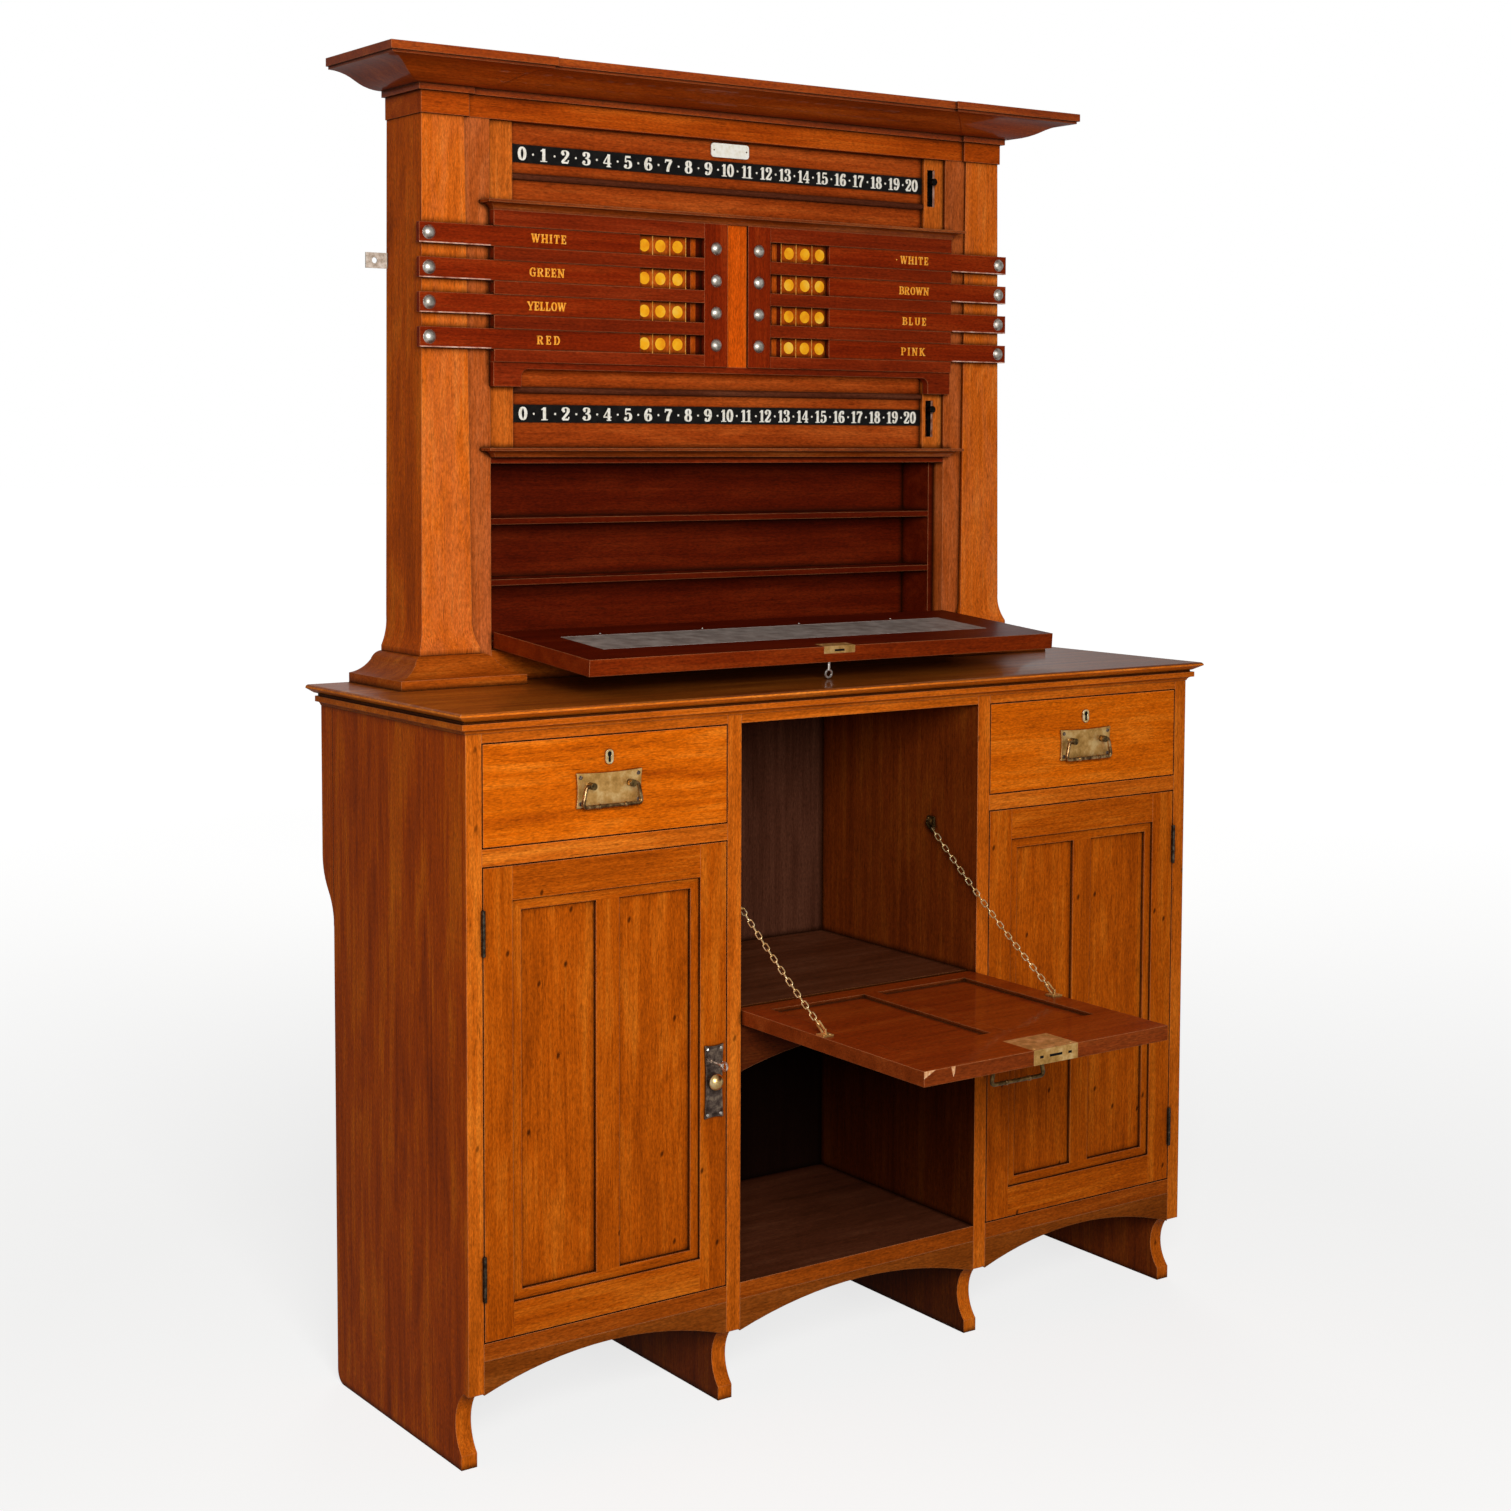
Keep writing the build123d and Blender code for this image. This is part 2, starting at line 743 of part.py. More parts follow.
# Chains: links hang in a straight run from an eye on the flap to an eye on each divider
chain_x = bay - eye_from_edge
flap_inner_face = mid_shelf_top
flap_eye = (front - flap_eye_reach, flap_inner_face + flap_eye_rise)
wall_eye = (front + wall_eye_setback, wall_eye_height)
run = hypot(wall_eye[0] - flap_eye[0], wall_eye[1] - flap_eye[1])
slope = degrees(atan2(wall_eye[1] - flap_eye[1], wall_eye[0] - flap_eye[0]))
link_count = round(run / link_pitch) - 1
pitch = run / (link_count + 1)
link_length = pitch + 2 * link_wire + link_play
chain_start = Pos(-chain_x, flap_eye[0], flap_eye[1]) * Rot(slope, 0, 0)


# An oval of eight straight sides, cut from sheet and lying along the y axis
def link():
    def oval(length, width):
        corner = width * link_corner_share
        ends = (length / 2, width / 2 - corner)
        flats = (length / 2 - corner, width / 2)
        points = [ends, flats, (-flats[0], flats[1]), (-ends[0], ends[1])]
        return Polygon(*points, *[(x, -y) for x, y in reversed(points)], align=None)
    ring = oval(link_length, link_width) - oval(link_length - 2 * link_wire, link_width - 2 * link_wire)
    return Pos(X=-link_wire / 2) * extrude(Plane.YZ * ring, link_wire)


left_chain = [chain_start * Pos(Y=pitch * place) * Rot(0, 90 * (place % 2), 0) * link()
              for place in range(1, link_count + 1)]
write("chains", *left_chain, *[mirrored(ring) for ring in left_chain])

left_flap_eye = chain_start * link()
left_flap_eye += block((-chain_x - eye_plate / 2, -chain_x + eye_plate / 2),
                       (flap_eye[0] - eye_plate, flap_eye[0]),
                       (flap_inner_face, flap_inner_face + link_wire))
stem_y = flap_eye[0] - link_length / 2 + link_wire
left_flap_eye += block((-chain_x - link_wire / 2, -chain_x + link_wire / 2),
                       (stem_y - link_wire, stem_y), (flap_inner_face, flap_eye[1]))
left_wall_eye = chain_start * Pos(Y=run) * Rot(0, 90 * ((link_count + 1) % 2), 0) * link()
eye_plate_y = (wall_eye[0], wall_eye[0] + eye_plate)
eye_plate_z = (wall_eye[1] - eye_plate_drop, wall_eye[1] - eye_plate_drop + eye_plate)
left_wall_eye += block((-bay, -bay + link_wire), eye_plate_y, eye_plate_z)
stem_span = (wall_eye[0] + wall_stem_setback, wall_eye[0] + wall_stem_setback + link_wire)
stem_rise = (wall_eye[1] + link_wire, wall_eye[1] + link_wire + wall_stem_height)
left_wall_eye += block((-bay, -chain_x + link_wire / 2), stem_span, stem_rise)

# Brass on the lower flap: pivot pins, lock, chain eyes, drop handle and keyhole plate
pin_span = (flap_half - pivot_inset, bay + pivot_length - gap)
right_pin = rod_x(pivot_radius, pin_span, lower_pivot_y, lower_pivot_height)
flap_handle = Pos(0, front, flap_handle_height - post_rise)
flap_keyhole = Pos(0, front, drawer_top - keyhole_plate_drop)
closed_brass = [right_pin, mirrored(right_pin), lower_lock,
                flap_handle * handle_plate(), flap_keyhole * keyhole_plate()]
write("lower_flap_fittings", *[lower_open(fitting) for fitting in closed_brass],
      left_flap_eye, mirrored(left_flap_eye))
hanging_bail = turned(flap_handle * handle_bail(), front - bail_stand_off, flap_handle_height, -90)
write("lower_flap_bail", lower_open(hanging_bail))

# Columns and their plinths: one outline seen from the front cut by one seen from the side
collar_floor = base_height + plinth_fillet + plinth_bell
collar_top = collar_floor + collar_height
flare_top = collar_top + flare_height


def column_edge(collar, shaft, neck):
    outward = 1 if collar > shaft else -1
    return (
        Line((collar, collar_floor), (collar, collar_top)),
        SagittaArc((collar, collar_top), (shaft, flare_top), outward * flare_hollow),
        Line((shaft, flare_top), (neck, column_top)),
    )


shaft_half = column_base_width / 2
neck_half = column_top_width / 2
collar_half = collar_width / 2
collar_front = front + collar_setback
column = mitred(
    column_edge(-collar_half, -shaft_half, -neck_half),
    column_edge(collar_half, shaft_half, neck_half),
    column_edge(collar_front, front + column_base_setback, front + column_top_setback),
    back_plane,
)
wall_plate_x = wall_plate_spread / 2
wall_plate_z = (wall_plate_height_above_floor - wall_plate_height / 2,
                wall_plate_height_above_floor + wall_plate_height / 2)
left_wall_plate = block((-wall_plate_x - wall_plate_width / 2, -wall_plate_x + wall_plate_width / 2),
                        (back_plane - wall_plate_thickness, back_plane), wall_plate_z)
left_column = Pos(X=-column_x) * column - left_wall_plate
left_column -= block((-stile_outer, 0), (stile_front, back_plane), (collar_floor, flare_top))
write("left_column", left_column)
write("right_column", mirrored(left_column))
wall_hole = rod_y(wall_hole_radius, -wall_hole_spread / 2, (back_plane - wall_plate_thickness, back_plane),
                  wall_plate_height_above_floor)
drilled_plate = left_wall_plate - wall_hole
write("wall_plates", drilled_plate, mirrored(drilled_plate))


def bell(edge, collar, outward):
    fillet_z = base_height + plinth_fillet
    turn = (collar + outward * bell_turn_width, fillet_z + bell_turn_height)
    return (
        Line((edge, base_height), (edge, fillet_z)),
        SagittaArc((edge, fillet_z), turn, outward * bell_hollow),
        SagittaArc(turn, (collar, collar_floor), -outward * bell_shoulder),
    )


plinth_half = plinth_width / 2
plinth = mitred(bell(-plinth_half, -collar_half, -1), bell(plinth_half, collar_half, 1),
                bell(front + plinth_setback, collar_front, -1), back_plane)
left_plinth = Pos(X=-column_x) * plinth
left_plinth -= block((-stile_outer, 0), (stile_front, back_plane), (base_height, collar_floor))
write("column_plinths", left_plinth, mirrored(left_plinth))

# Stiles, back, number boards and their frames
stile_shape = Polygon((-stile_inner, base_height), (-stile_inner, column_top),
                      (neck_half - column_x, column_top), (-stile_outer, flare_top),
                      (-stile_outer, base_height), align=None)
left_stile = prism_y(stile_shape, (stile_front, upper_inside_back))
write("upper_stiles", left_stile, mirrored(left_stile))
upper_x = (-stile_outer, stile_outer)
write("upper_back", block(upper_x, (upper_inside_back, back_plane), (base_height, frieze_top)))

number_face = front + number_setback
number_y = (number_face, number_face + number_board)
number_x = (-number_half, number_half)
frame_y = (front + frame_setback, number_y[1])
upper_number_z = (upper_number_floor, column_top)
lower_number_z = (lower_number_floor, housing_floor)


def pointer_rail(z):
    nose = ThreePointArc((number_face, z), (number_face - pointer_depth, z + pointer_height / 2),
                         (number_face, z + pointer_height))
    return prism_x(outline(nose, Line((number_face, z), (number_face, z + pointer_height))), number_x)


write("number_boards", block(number_x, number_y, upper_number_z), block(number_x, number_y, lower_number_z),
      pointer_rail(upper_number_floor + upper_pointer_lift),
      pointer_rail(lower_number_floor + lower_pointer_lift))
strip_y = (number_face - number_strip_thickness, number_face)
strip_lifts = (upper_number_floor + upper_strip_lift, lower_number_floor + lower_strip_lift)
write("number_strips", *[block(number_x, strip_y, (z, z + number_strip_height)) for z in strip_lifts])

slot_x = number_half + peg_slot_inset


def frame_stile(x_span, z_span):
    return block(x_span, frame_y, z_span)


def peg_slot(floor):
    x_span = (slot_x - peg_slot_width / 2, slot_x + peg_slot_width / 2)
    return block(x_span, frame_y, (floor, floor + peg_slot_length))


left_frame_x = (-stile_inner, -number_half)
right_frame_x = (number_half, stile_inner)
upper_slot_floor = upper_number_floor + upper_slot_lift
lower_slot_floor = lower_number_floor + lower_slot_lift
write("frame_stiles", frame_stile(left_frame_x, upper_number_z), frame_stile(left_frame_x, lower_number_z),
      frame_stile(right_frame_x, upper_number_z) - peg_slot(upper_slot_floor),
      frame_stile(right_frame_x, lower_number_z) - peg_slot(lower_slot_floor))


def peg(z):
    knob_back = frame_y[0] - peg_play
    plate_front = frame_y[1] + peg_play
    tongue_half = peg_slot_width / 2 - peg_play
    shank = rod_y(peg_radius, slot_x, (knob_back, plate_front), z)
    knob = rod_y(peg_knob_radius, slot_x, (knob_back - peg_knob_length, knob_back), z)
    tongue = block((slot_x - tongue_half, slot_x + tongue_half),
                   (frame_y[0] + peg_tongue_recess, plate_front), (z - peg_radius, z + peg_radius))
    plate = block((slot_x - peg_plate_width / 2, slot_x + peg_plate_width / 2),
                  (plate_front, plate_front + peg_plate_thickness),
                  (z - peg_plate_height / 2, z + peg_plate_height / 2))
    return shank + knob + tongue + plate


write("upper_peg", peg(upper_slot_floor + upper_peg_lift))
write("lower_peg", peg(lower_slot_floor + lower_peg_lift))

# Frieze and cornice: an end block over each column breaks forward of the centre length
block_half = frieze_block_width / 2
block_x = stile_outer + block_half
block_front = front + frieze_block_setback
centre_front = front + frieze_setback
left_frieze = block((-stile_outer - frieze_block_width, -stile_outer), (block_front, back_plane),
                    (column_top, frieze_top))
centre_frieze = block(upper_x, (centre_front, upper_inside_back), (column_top, frieze_top))
write("frieze", left_frieze, centre_frieze, mirrored(left_frieze))

bed_top = frieze_top + bed_height
ogee_top = bed_top + ogee_height
bead_top = ogee_top + bead_height
cabinet_top = bead_top + cornice_fillet


def cornice_edge(face, outward):
    def point(projection, z):
        return (face + outward * projection, z)
    low = point(ogee_start, bed_top)
    high = point(ogee_end, ogee_top)
    bed = Polyline(point(bed_projection, frieze_top), point(bed_projection, bed_top), low)
    bead = Polyline(high, point(bead_projection, ogee_top), point(bead_projection, bead_top))
    crown = Polyline(point(bead_projection, bead_top), point(cornice_projection, bead_top),
                     point(cornice_projection, cabinet_top))
    return bed, *ogee(low, high, -outward * ogee_bow), bead, crown


cornice_end = mitred(cornice_edge(-block_half, -1), cornice_edge(block_half, 1),
                     cornice_edge(block_front, -1), back_plane)
left_end = Pos(X=-block_x) * cornice_end
right_end = mirrored(left_end)
cornice_centre = cornice_edge(centre_front, -1)
centre_face = outline(*cornice_centre, Polyline(cornice_centre[-1] @ 1, (back_plane, cabinet_top),
                                                (back_plane, frieze_top), cornice_centre[0] @ 0))
centre_length = prism_x(centre_face, upper_x) - left_end - right_end
write("cornice", left_end, centre_length, right_end)

# Score housing: rails with grooves for the bars' tongues, centre stiles, back board and life strips
bar_heights = [highest_bar - row * bar_pitch for row in range(bar_rows)]
slot_half = bar_height / 2 + bar_clearance
rail_back = stile_front - housing_back
housing_y = (housing_front, rail_back)
tongue_y = (bar_front + tongue_recess, bar_front + tongue_recess + tongue_thickness)
groove_y = (tongue_y[0] - groove_play, tongue_y[1] + groove_play)
groove_half = bar_height / 2 + tongue_height + bar_clearance
housing_z = (housing_floor, housing_top)
rail_x = (-housing_half, -window_inner)
rail_block = block(rail_x, housing_y, housing_z)
for z in bar_heights:
    rail_block -= block(rail_x, housing_y, (z - slot_half, z + slot_half))
    rail_block -= block(rail_x, groove_y, (z - groove_half, z + groove_half))
left_centre_stile = block((-window_inner, -centre_strip_width / 2), housing_y, housing_z)
strip_half = centre_strip_width / 2 - centre_strip_gap
centre_strip = block((-strip_half, strip_half),
                     (housing_front + centre_strip_recess, rail_back), housing_z)
write("score_frame", rail_block, mirrored(rail_block), left_centre_stile, mirrored(left_centre_stile),
      centre_strip)
write("score_back", block((-housing_half, housing_half), (rail_back, stile_front), housing_z))

life_x = (-window_outer - life_strip_lap, -window_inner)
life_y = (rail_back - life_strip, rail_back)
left_lives = [block(life_x, life_y, (z - slot_half, z + slot_half)) for z in bar_heights]
write("life_strips", *left_lives, *[mirrored(strip) for strip in left_lives])


def stud(x, z, face):
    return Pos(x, face, z) * dome(stud_radius, stud_height)


left_studs = [stud(-fixed_stud_place, z, housing_front) for z in bar_heights]
write("fixed_studs", *left_studs, *[mirrored(head) for head in left_studs])


def score_bar(z):
    outer_end = -window_outer - bar_length
    bar = block((outer_end, -window_outer), (bar_front, bar_back), (z - bar_height / 2, z + bar_height / 2))
    bar += block((-window_outer - tongue_length, -window_outer), tongue_y,
                 (z - bar_height / 2 - tongue_height, z + bar_height / 2 + tongue_height))
    return bar, stud(outer_end + stud_end, z, bar_front)


for row, z in enumerate(bar_heights, start=1):
    left_bar = score_bar(z)
    write(f"left_bar_{row}", *left_bar)
    write(f"right_bar_{row}", *[mirrored(piece) for piece in left_bar])

# Shaped apron under the housing
notch_edge = housing_half - apron_end_width
bridge = housing_floor - apron_bridge
notch_low = bridge - apron_notch_radius
notch_x = notch_edge - apron_notch_radius
notch_bow = apron_notch_radius * quarter_bow


def notch(side):
    return SagittaArc((side * notch_edge, notch_low), (side * notch_x, bridge), -side * notch_bow)


apron_face = outline(
    Line((-notch_x, bridge), (notch_x, bridge)), notch(-1), notch(1),
    Polyline((notch_edge, notch_low), (notch_edge, apron_floor), (housing_half, apron_floor),
             (housing_half, housing_floor), (-housing_half, housing_floor), (-housing_half, apron_floor),
             (-notch_edge, apron_floor), (-notch_edge, notch_low)),
)
write("housing_apron", prism_y(apron_face, (stile_front - apron_board, stile_front)))


# Small cornices over the housing and over the ball compartment
def small_cornice(face, floor):
    top = floor + small_cornice_height
    shelf = top - small_cornice_fillet

    def edge(start, outward):
        tip = start + outward * small_cornice_projection
        cove = SagittaArc((start, floor), (tip, shelf), outward * small_cornice_hollow)
        return cove, Line((tip, shelf), (tip, top))
    return mitred(edge(-housing_half, -1), edge(housing_half, 1), edge(face, -1), stile_front)


head_top = compartment_top + compartment_head
write("small_cornices", small_cornice(housing_front, housing_top), small_cornice(housing_front, head_top))

# Ball compartment: sill, floor, side stops, head and the cross board under the upper number board
cross_x = (-stile_inner, stile_inner)
cross_y = (stile_front, upper_inside_back)
stop_y = (stile_front + flap_rebate, upper_inside_back)
floor_z = (sill_top, sill_top + compartment_floor)
sill = block(cross_x, cross_y, (base_height, sill_top))
for hinge in upper_hinges:
    sill -= hinge * leaf_recess(-1)
left_stop = block((-stile_inner, -stile_inner + side_stop), stop_y, (floor_z[1], compartment_top))
write("compartment_case", sill, block(cross_x, stop_y, floor_z), left_stop, mirrored(left_stop),
      block(cross_x, cross_y, (compartment_top, lower_number_floor)),
      block(cross_x, cross_y, (housing_top, upper_number_floor)))

shelf_x = (-stile_inner + side_stop, stile_inner - side_stop)
seat_y = (stop_y[0] + stop_y[1]) / 2


def ball_shelf(top):
    shelf = block(shelf_x, stop_y, (top - shelf_board, top))
    for place in range(ball_count):
        x = ball_pitch * (place - (ball_count - 1) / 2)
        shelf -= Pos(x, seat_y, top - seat_depth / 2) * Cone(seat_bottom_radius, seat_radius, seat_depth)
    return shelf


write("ball_shelves", *[ball_shelf(floor_z[1] + shelf_spacing * tier) for tier in range(1, shelf_count + 1)])

# Upper flap, drawn shut and then swung open about its hinges
upper_half = stile_inner - upper_side_gap
upper_y = (stile_front, stile_front + upper_thickness)
slate_z = (upper_flap_floor + slate_lift, upper_flap_floor + slate_lift + slate_height)
slate = block((-slate_width / 2, slate_width / 2), (upper_y[1] - slate_thickness, upper_y[1]), slate_z)
upper_lock_x = (upper_lock_offset - upper_lock_width / 2, upper_lock_offset + upper_lock_width / 2)
upper_lock = block(upper_lock_x, (upper_y[1] - lock_plate, upper_y[1]),
                   (upper_flap_top - upper_lock_depth, upper_flap_top))
upper_lock += block(upper_lock_x, (upper_y[1] - upper_lock_edge, upper_y[1]),
                    (upper_flap_top - lock_plate, upper_flap_top))
upper_key_place = Pos(upper_key_offset, stile_front, upper_flap_top - upper_key_inset)
upper_key_hole = upper_key_place * rod_y(key_shank_radius + key_hole_clearance, 0, (0, key_depth), 0)
flap_board = block((-upper_half, upper_half), upper_y, (upper_flap_floor, upper_flap_top))
flap_board = flap_board - slate - upper_lock - upper_key_hole
for hinge in upper_hinges:
    flap_board -= hinge * leaf_recess(1)
write("upper_flap", upper_open(flap_board))
write("slate_panel", upper_open(slate))
upper_leaves = [hinge * moving_leaf() for hinge in upper_hinges]
write("upper_flap_fittings", upper_open(upper_lock), *[upper_open(leaf) for leaf in upper_leaves])
write("upper_flap_key", upper_open(upper_key_place * Rot(0, 90, 0) * key(upper_key_reach)))

# Fixed brass: hinge leaves on the sides and the sill, and the chains' eyes on the dividers
left_fixed = [hinge * fixed_leaf() for hinge in left_door_hinges]
write("fixed_fittings", *left_fixed, *[mirrored(leaf) for leaf in left_fixed],
      *[hinge * fixed_leaf() for hinge in upper_hinges], left_wall_eye, mirrored(left_wall_eye))
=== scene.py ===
import math

import bpy
from mathutils import Matrix, Vector


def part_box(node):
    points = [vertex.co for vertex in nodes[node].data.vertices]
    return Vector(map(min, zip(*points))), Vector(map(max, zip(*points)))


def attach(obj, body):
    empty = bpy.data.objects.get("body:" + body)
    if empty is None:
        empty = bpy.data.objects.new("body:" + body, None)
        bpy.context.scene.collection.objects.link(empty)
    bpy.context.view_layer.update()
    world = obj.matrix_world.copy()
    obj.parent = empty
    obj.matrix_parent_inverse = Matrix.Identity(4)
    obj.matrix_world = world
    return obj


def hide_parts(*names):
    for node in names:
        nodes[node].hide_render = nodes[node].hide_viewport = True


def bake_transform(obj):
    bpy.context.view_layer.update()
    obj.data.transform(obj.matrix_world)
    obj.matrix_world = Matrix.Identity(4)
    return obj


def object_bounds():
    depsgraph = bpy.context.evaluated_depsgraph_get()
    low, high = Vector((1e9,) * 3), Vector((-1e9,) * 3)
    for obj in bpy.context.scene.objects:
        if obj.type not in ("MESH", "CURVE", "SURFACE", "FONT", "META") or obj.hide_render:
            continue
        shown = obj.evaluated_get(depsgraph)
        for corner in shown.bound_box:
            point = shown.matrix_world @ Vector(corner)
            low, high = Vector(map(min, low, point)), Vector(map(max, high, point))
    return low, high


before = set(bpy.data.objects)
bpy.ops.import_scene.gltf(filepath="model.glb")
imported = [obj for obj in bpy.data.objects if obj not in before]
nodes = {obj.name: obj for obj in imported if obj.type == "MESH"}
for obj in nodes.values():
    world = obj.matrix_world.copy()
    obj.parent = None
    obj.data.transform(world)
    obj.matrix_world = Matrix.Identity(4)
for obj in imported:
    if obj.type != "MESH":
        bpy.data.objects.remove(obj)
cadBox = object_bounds()
mm = 0.001
print("frame:", len(nodes), "nodes")


def hexColour(code):
    # sRGB hex to the linear values that Blender mixes with
    parts = [int(code[i:i + 2], 16) / 255 for i in (1, 3, 5)]
    linear = [c / 12.92 if c <= 0.04045 else ((c + 0.055) / 1.055) ** 2.4 for c in parts]
    return (*linear, 1.0)


def addNode(tree, kind, values=None):
    # a value that is another node's socket is linked; any other is set on the node or on its socket
    node = tree.nodes.new(kind)
    for key, value in (values or {}).items():
        if isinstance(value, bpy.types.NodeSocket):
            tree.links.new(value, node.inputs[key])
        elif key == "stops":
            ramp = node.color_ramp.elements
            while len(ramp) < len(value):
                ramp.new(1.0)
            for element, (place, code) in zip(ramp, value):
                element.position = place
                element.color = hexColour(code)
        elif isinstance(key, str) and hasattr(node, key):
            setattr(node, key, value)
        else:
            node.inputs[key].default_value = value
    return node


def newMaterial(name):
    material = bpy.data.materials.new(name)
    material.use_nodes = True
    material.node_tree.nodes.clear()
    return material, material.node_tree


def finishMaterial(tree, values):
    shader = addNode(tree, "ShaderNodeBsdfPrincipled", values)
    addNode(tree, "ShaderNodeOutputMaterial", {"Surface": shader.outputs["BSDF"]})


# Camera at the photograph's viewpoint
photoCamera = {
    "place": (-1.9966, -2.5619, 1.2718),
    "lean": -0.06858,
    "roll": -0.002829,
    "swing": -0.6126,
    "lens": 57.16,
    "shift": (0.0114, -0.0974),
}
cameraData = bpy.data.cameras.new("photoCamera")
cameraData.lens = photoCamera["lens"]
cameraData.shift_x, cameraData.shift_y = photoCamera["shift"]
camera = bpy.data.objects.new("photoCamera", cameraData)
camera.matrix_world = (
    Matrix.Translation(photoCamera["place"])
    @ Matrix.Rotation(photoCamera["swing"], 4, "Z")
    @ Matrix.Rotation(photoCamera["lean"], 4, "X")
    @ Matrix.Rotation(photoCamera["roll"], 4, "Y")
    @ Matrix.Rotation(math.pi / 2, 4, "X")
)
bpy.context.scene.collection.objects.link(camera)
bpy.context.scene.camera = camera
bpy.context.scene.view_settings.view_transform = "Standard"

# One soft box at the left of the camera, a weaker one far behind, and a pale room
studio = {
    "boxes": [
        ("keyBox", (-1.6, -2.7, 1.8), 1.3, 102.0),
        ("backBox", (2.2, 3.6, 2.4), 2.0, 34.0),
    ],
    "aim": (0.0, 0.1, 0.95),
    "roomLight": 0.12,
    "roomShine": 0.42,
    "roomColour": "#FFFFFF",
    "floorColour": "#8F8E8B",
    "floorHalf": 60.0,
    "floorGlow": (0.76, 1.0),
    "floorFade": (1.2, 6.0),
}
for boxName, place, size, power in studio["boxes"]:
    lamp = bpy.data.lights.new(boxName, "AREA")
    lamp.size = size
    lamp.energy = power
    lampObject = bpy.data.objects.new(boxName, lamp)
    lampObject.location = place
    away = Vector(place) - Vector(studio["aim"])
    lampObject.rotation_euler = away.to_track_quat("Z", "Y").to_euler()
    bpy.context.scene.collection.objects.link(lampObject)


def seenLevel(tree):
    # 1 where the camera looks, or looks through glass, and a share of it in reflections
    rays = addNode(tree, "ShaderNodeLightPath")
    straight = addNode(tree, "ShaderNodeMath", {
        "operation": "MAXIMUM", 0: rays.outputs["Is Camera Ray"], 1: rays.outputs["Is Transmission Ray"]})
    shown = addNode(tree, "ShaderNodeMath", {
        "operation": "MULTIPLY_ADD", 1: studio["roomShine"], 0: rays.outputs["Is Glossy Ray"],
        2: straight.outputs[0]})
    return shown.outputs[0]


room = bpy.data.worlds.new("paleRoom")
room.use_nodes = True
roomTree = room.node_tree
roomTree.nodes.clear()
level = addNode(roomTree, "ShaderNodeMapRange", {
    "To Min": studio["roomLight"], "To Max": 1.0, "Value": seenLevel(roomTree)})
backdrop = addNode(roomTree, "ShaderNodeBackground", {
    "Color": hexColour(studio["roomColour"]), "Strength": level.outputs[0]})
addNode(roomTree, "ShaderNodeOutputWorld", {"Surface": backdrop.outputs[0]})
bpy.context.scene.world = room

# The floor whitens with distance, so that it runs into the backdrop, and keeps the shadow near the feet
floorMaterial, floorTree = newMaterial("paleFloor")
matt = addNode(floorTree, "ShaderNodeBsdfDiffuse", {"Color": hexColour(studio["floorColour"])})
floorPlace = addNode(floorTree, "ShaderNodeTexCoord").outputs["Object"]
farOff = addNode(floorTree, "ShaderNodeVectorMath", {"operation": "LENGTH", 0: floorPlace})
fade = addNode(floorTree, "ShaderNodeMapRange", {
    "From Min": studio["floorFade"][0], "From Max": studio["floorFade"][1],
    "To Min": studio["floorGlow"][0], "To Max": studio["floorGlow"][1], "Value": farOff.outputs["Value"]})
glowLevel = addNode(floorTree, "ShaderNodeMath", {
    "operation": "MULTIPLY", 0: fade.outputs[0], 1: seenLevel(floorTree)})
glow = addNode(floorTree, "ShaderNodeEmission", {"Strength": glowLevel.outputs[0]})
floorMix = addNode(floorTree, "ShaderNodeAddShader", {0: matt.outputs[0], 1: glow.outputs[0]})
addNode(floorTree, "ShaderNodeOutputMaterial", {"Surface": floorMix.outputs[0]})
floorMesh = bpy.data.meshes.new("floor")
reach = studio["floorHalf"]
floorMesh.from_pydata([(-reach, -reach, 0), (reach, -reach, 0), (reach, reach, 0), (-reach, reach, 0)],
                      [], [(0, 1, 2, 3)])
floorMesh.materials.append(floorMaterial)
floor = bpy.data.objects.new("floor", floorMesh)
bpy.context.scene.collection.objects.link(floor)
print("camera, lights and floor")

# French-polished mahogany: long ribbon stripes, finer dark streaks and short open pores under a thin
# satin skin. Painted shade darkens the corners, standing also for dust, and a paler line along the
# arrises is both handling wear and a painted highlight.
# Pores are about 0.3 mm wide; they are drawn 1.8 mm wide so that they show in the render.
mahogany = {
    # width, length and warp of each layer of noise, in millimetres
    "layers": {
        "figure": (55.0, 260.0, 0.9),
        "ribbon": (15.0, 420.0, 0.5),
        "streak": (2.8, 120.0, 0.3),
        "pore": (1.8, 22.0, 0.0),
        "flame": (24.0, 150.0, 0.9),
        "paintedSheen": (45.0, 190.0, 1.2),
        "speckle": (1.7, 6.0, 0.0),
    },
    "detail": 4.0,
    "noiseRoughness": 0.6,
    "drift": (1.0, 1.7, 0.6),
    "flameLean": 24.0,
    "streakShare": 0.42,
    "figureShare": 0.4,
    "contrast": 0.18,
    # colour and span of the painted sheen patches
    "paintedSheenColour": "#CC6C38",
    "paintedSheenSpan": (0.47, 0.64),
    "speckleDepth": 0.34,
    "speckleSpan": (0.3, 0.7),
    "poreDepth": 0.5,
    "poreSpan": (0.55, 0.72),
    # a paler colour along the arrises, both handling wear and a painted highlight
    "wearReach": 1.5,
    "wearAndHighlightDepth": 1.1,
    "wearAndHighlightSpan": (0.99, 0.84),
    "wearAndHighlightColour": "#D8905E",
    # reach, depth and span of the painted corner shade; its colour also darkens the pores and dents
    "cornerShadeReach": 10.0,
    "cornerShadeDepth": 0.92,
    "cornerShadeSpan": (0.97, 0.5),
    "grimeAndShade": "#1C0902",
    "dentSpacing": (52.0, 96.0),
    "dentLean": 0.3,
    "dentSpan": (0.06, 0.024),
    "dentShare": 0.4,
    # span along X over which painted light makes one end paler
    "litEndSpan": (-0.34, -0.5),
    # height span and colour of the painted shade below the mid shelf
    "shadeBelowSpan": (0.52, 0.49),
    "shadeBelowColour": "#080302",
    "roughness": (0.34, 0.56),
    "relief": (0.2, 0.2),
    "ior": 1.5,
    "specular": 0.03,
    "coatRoughness": 0.08,
}
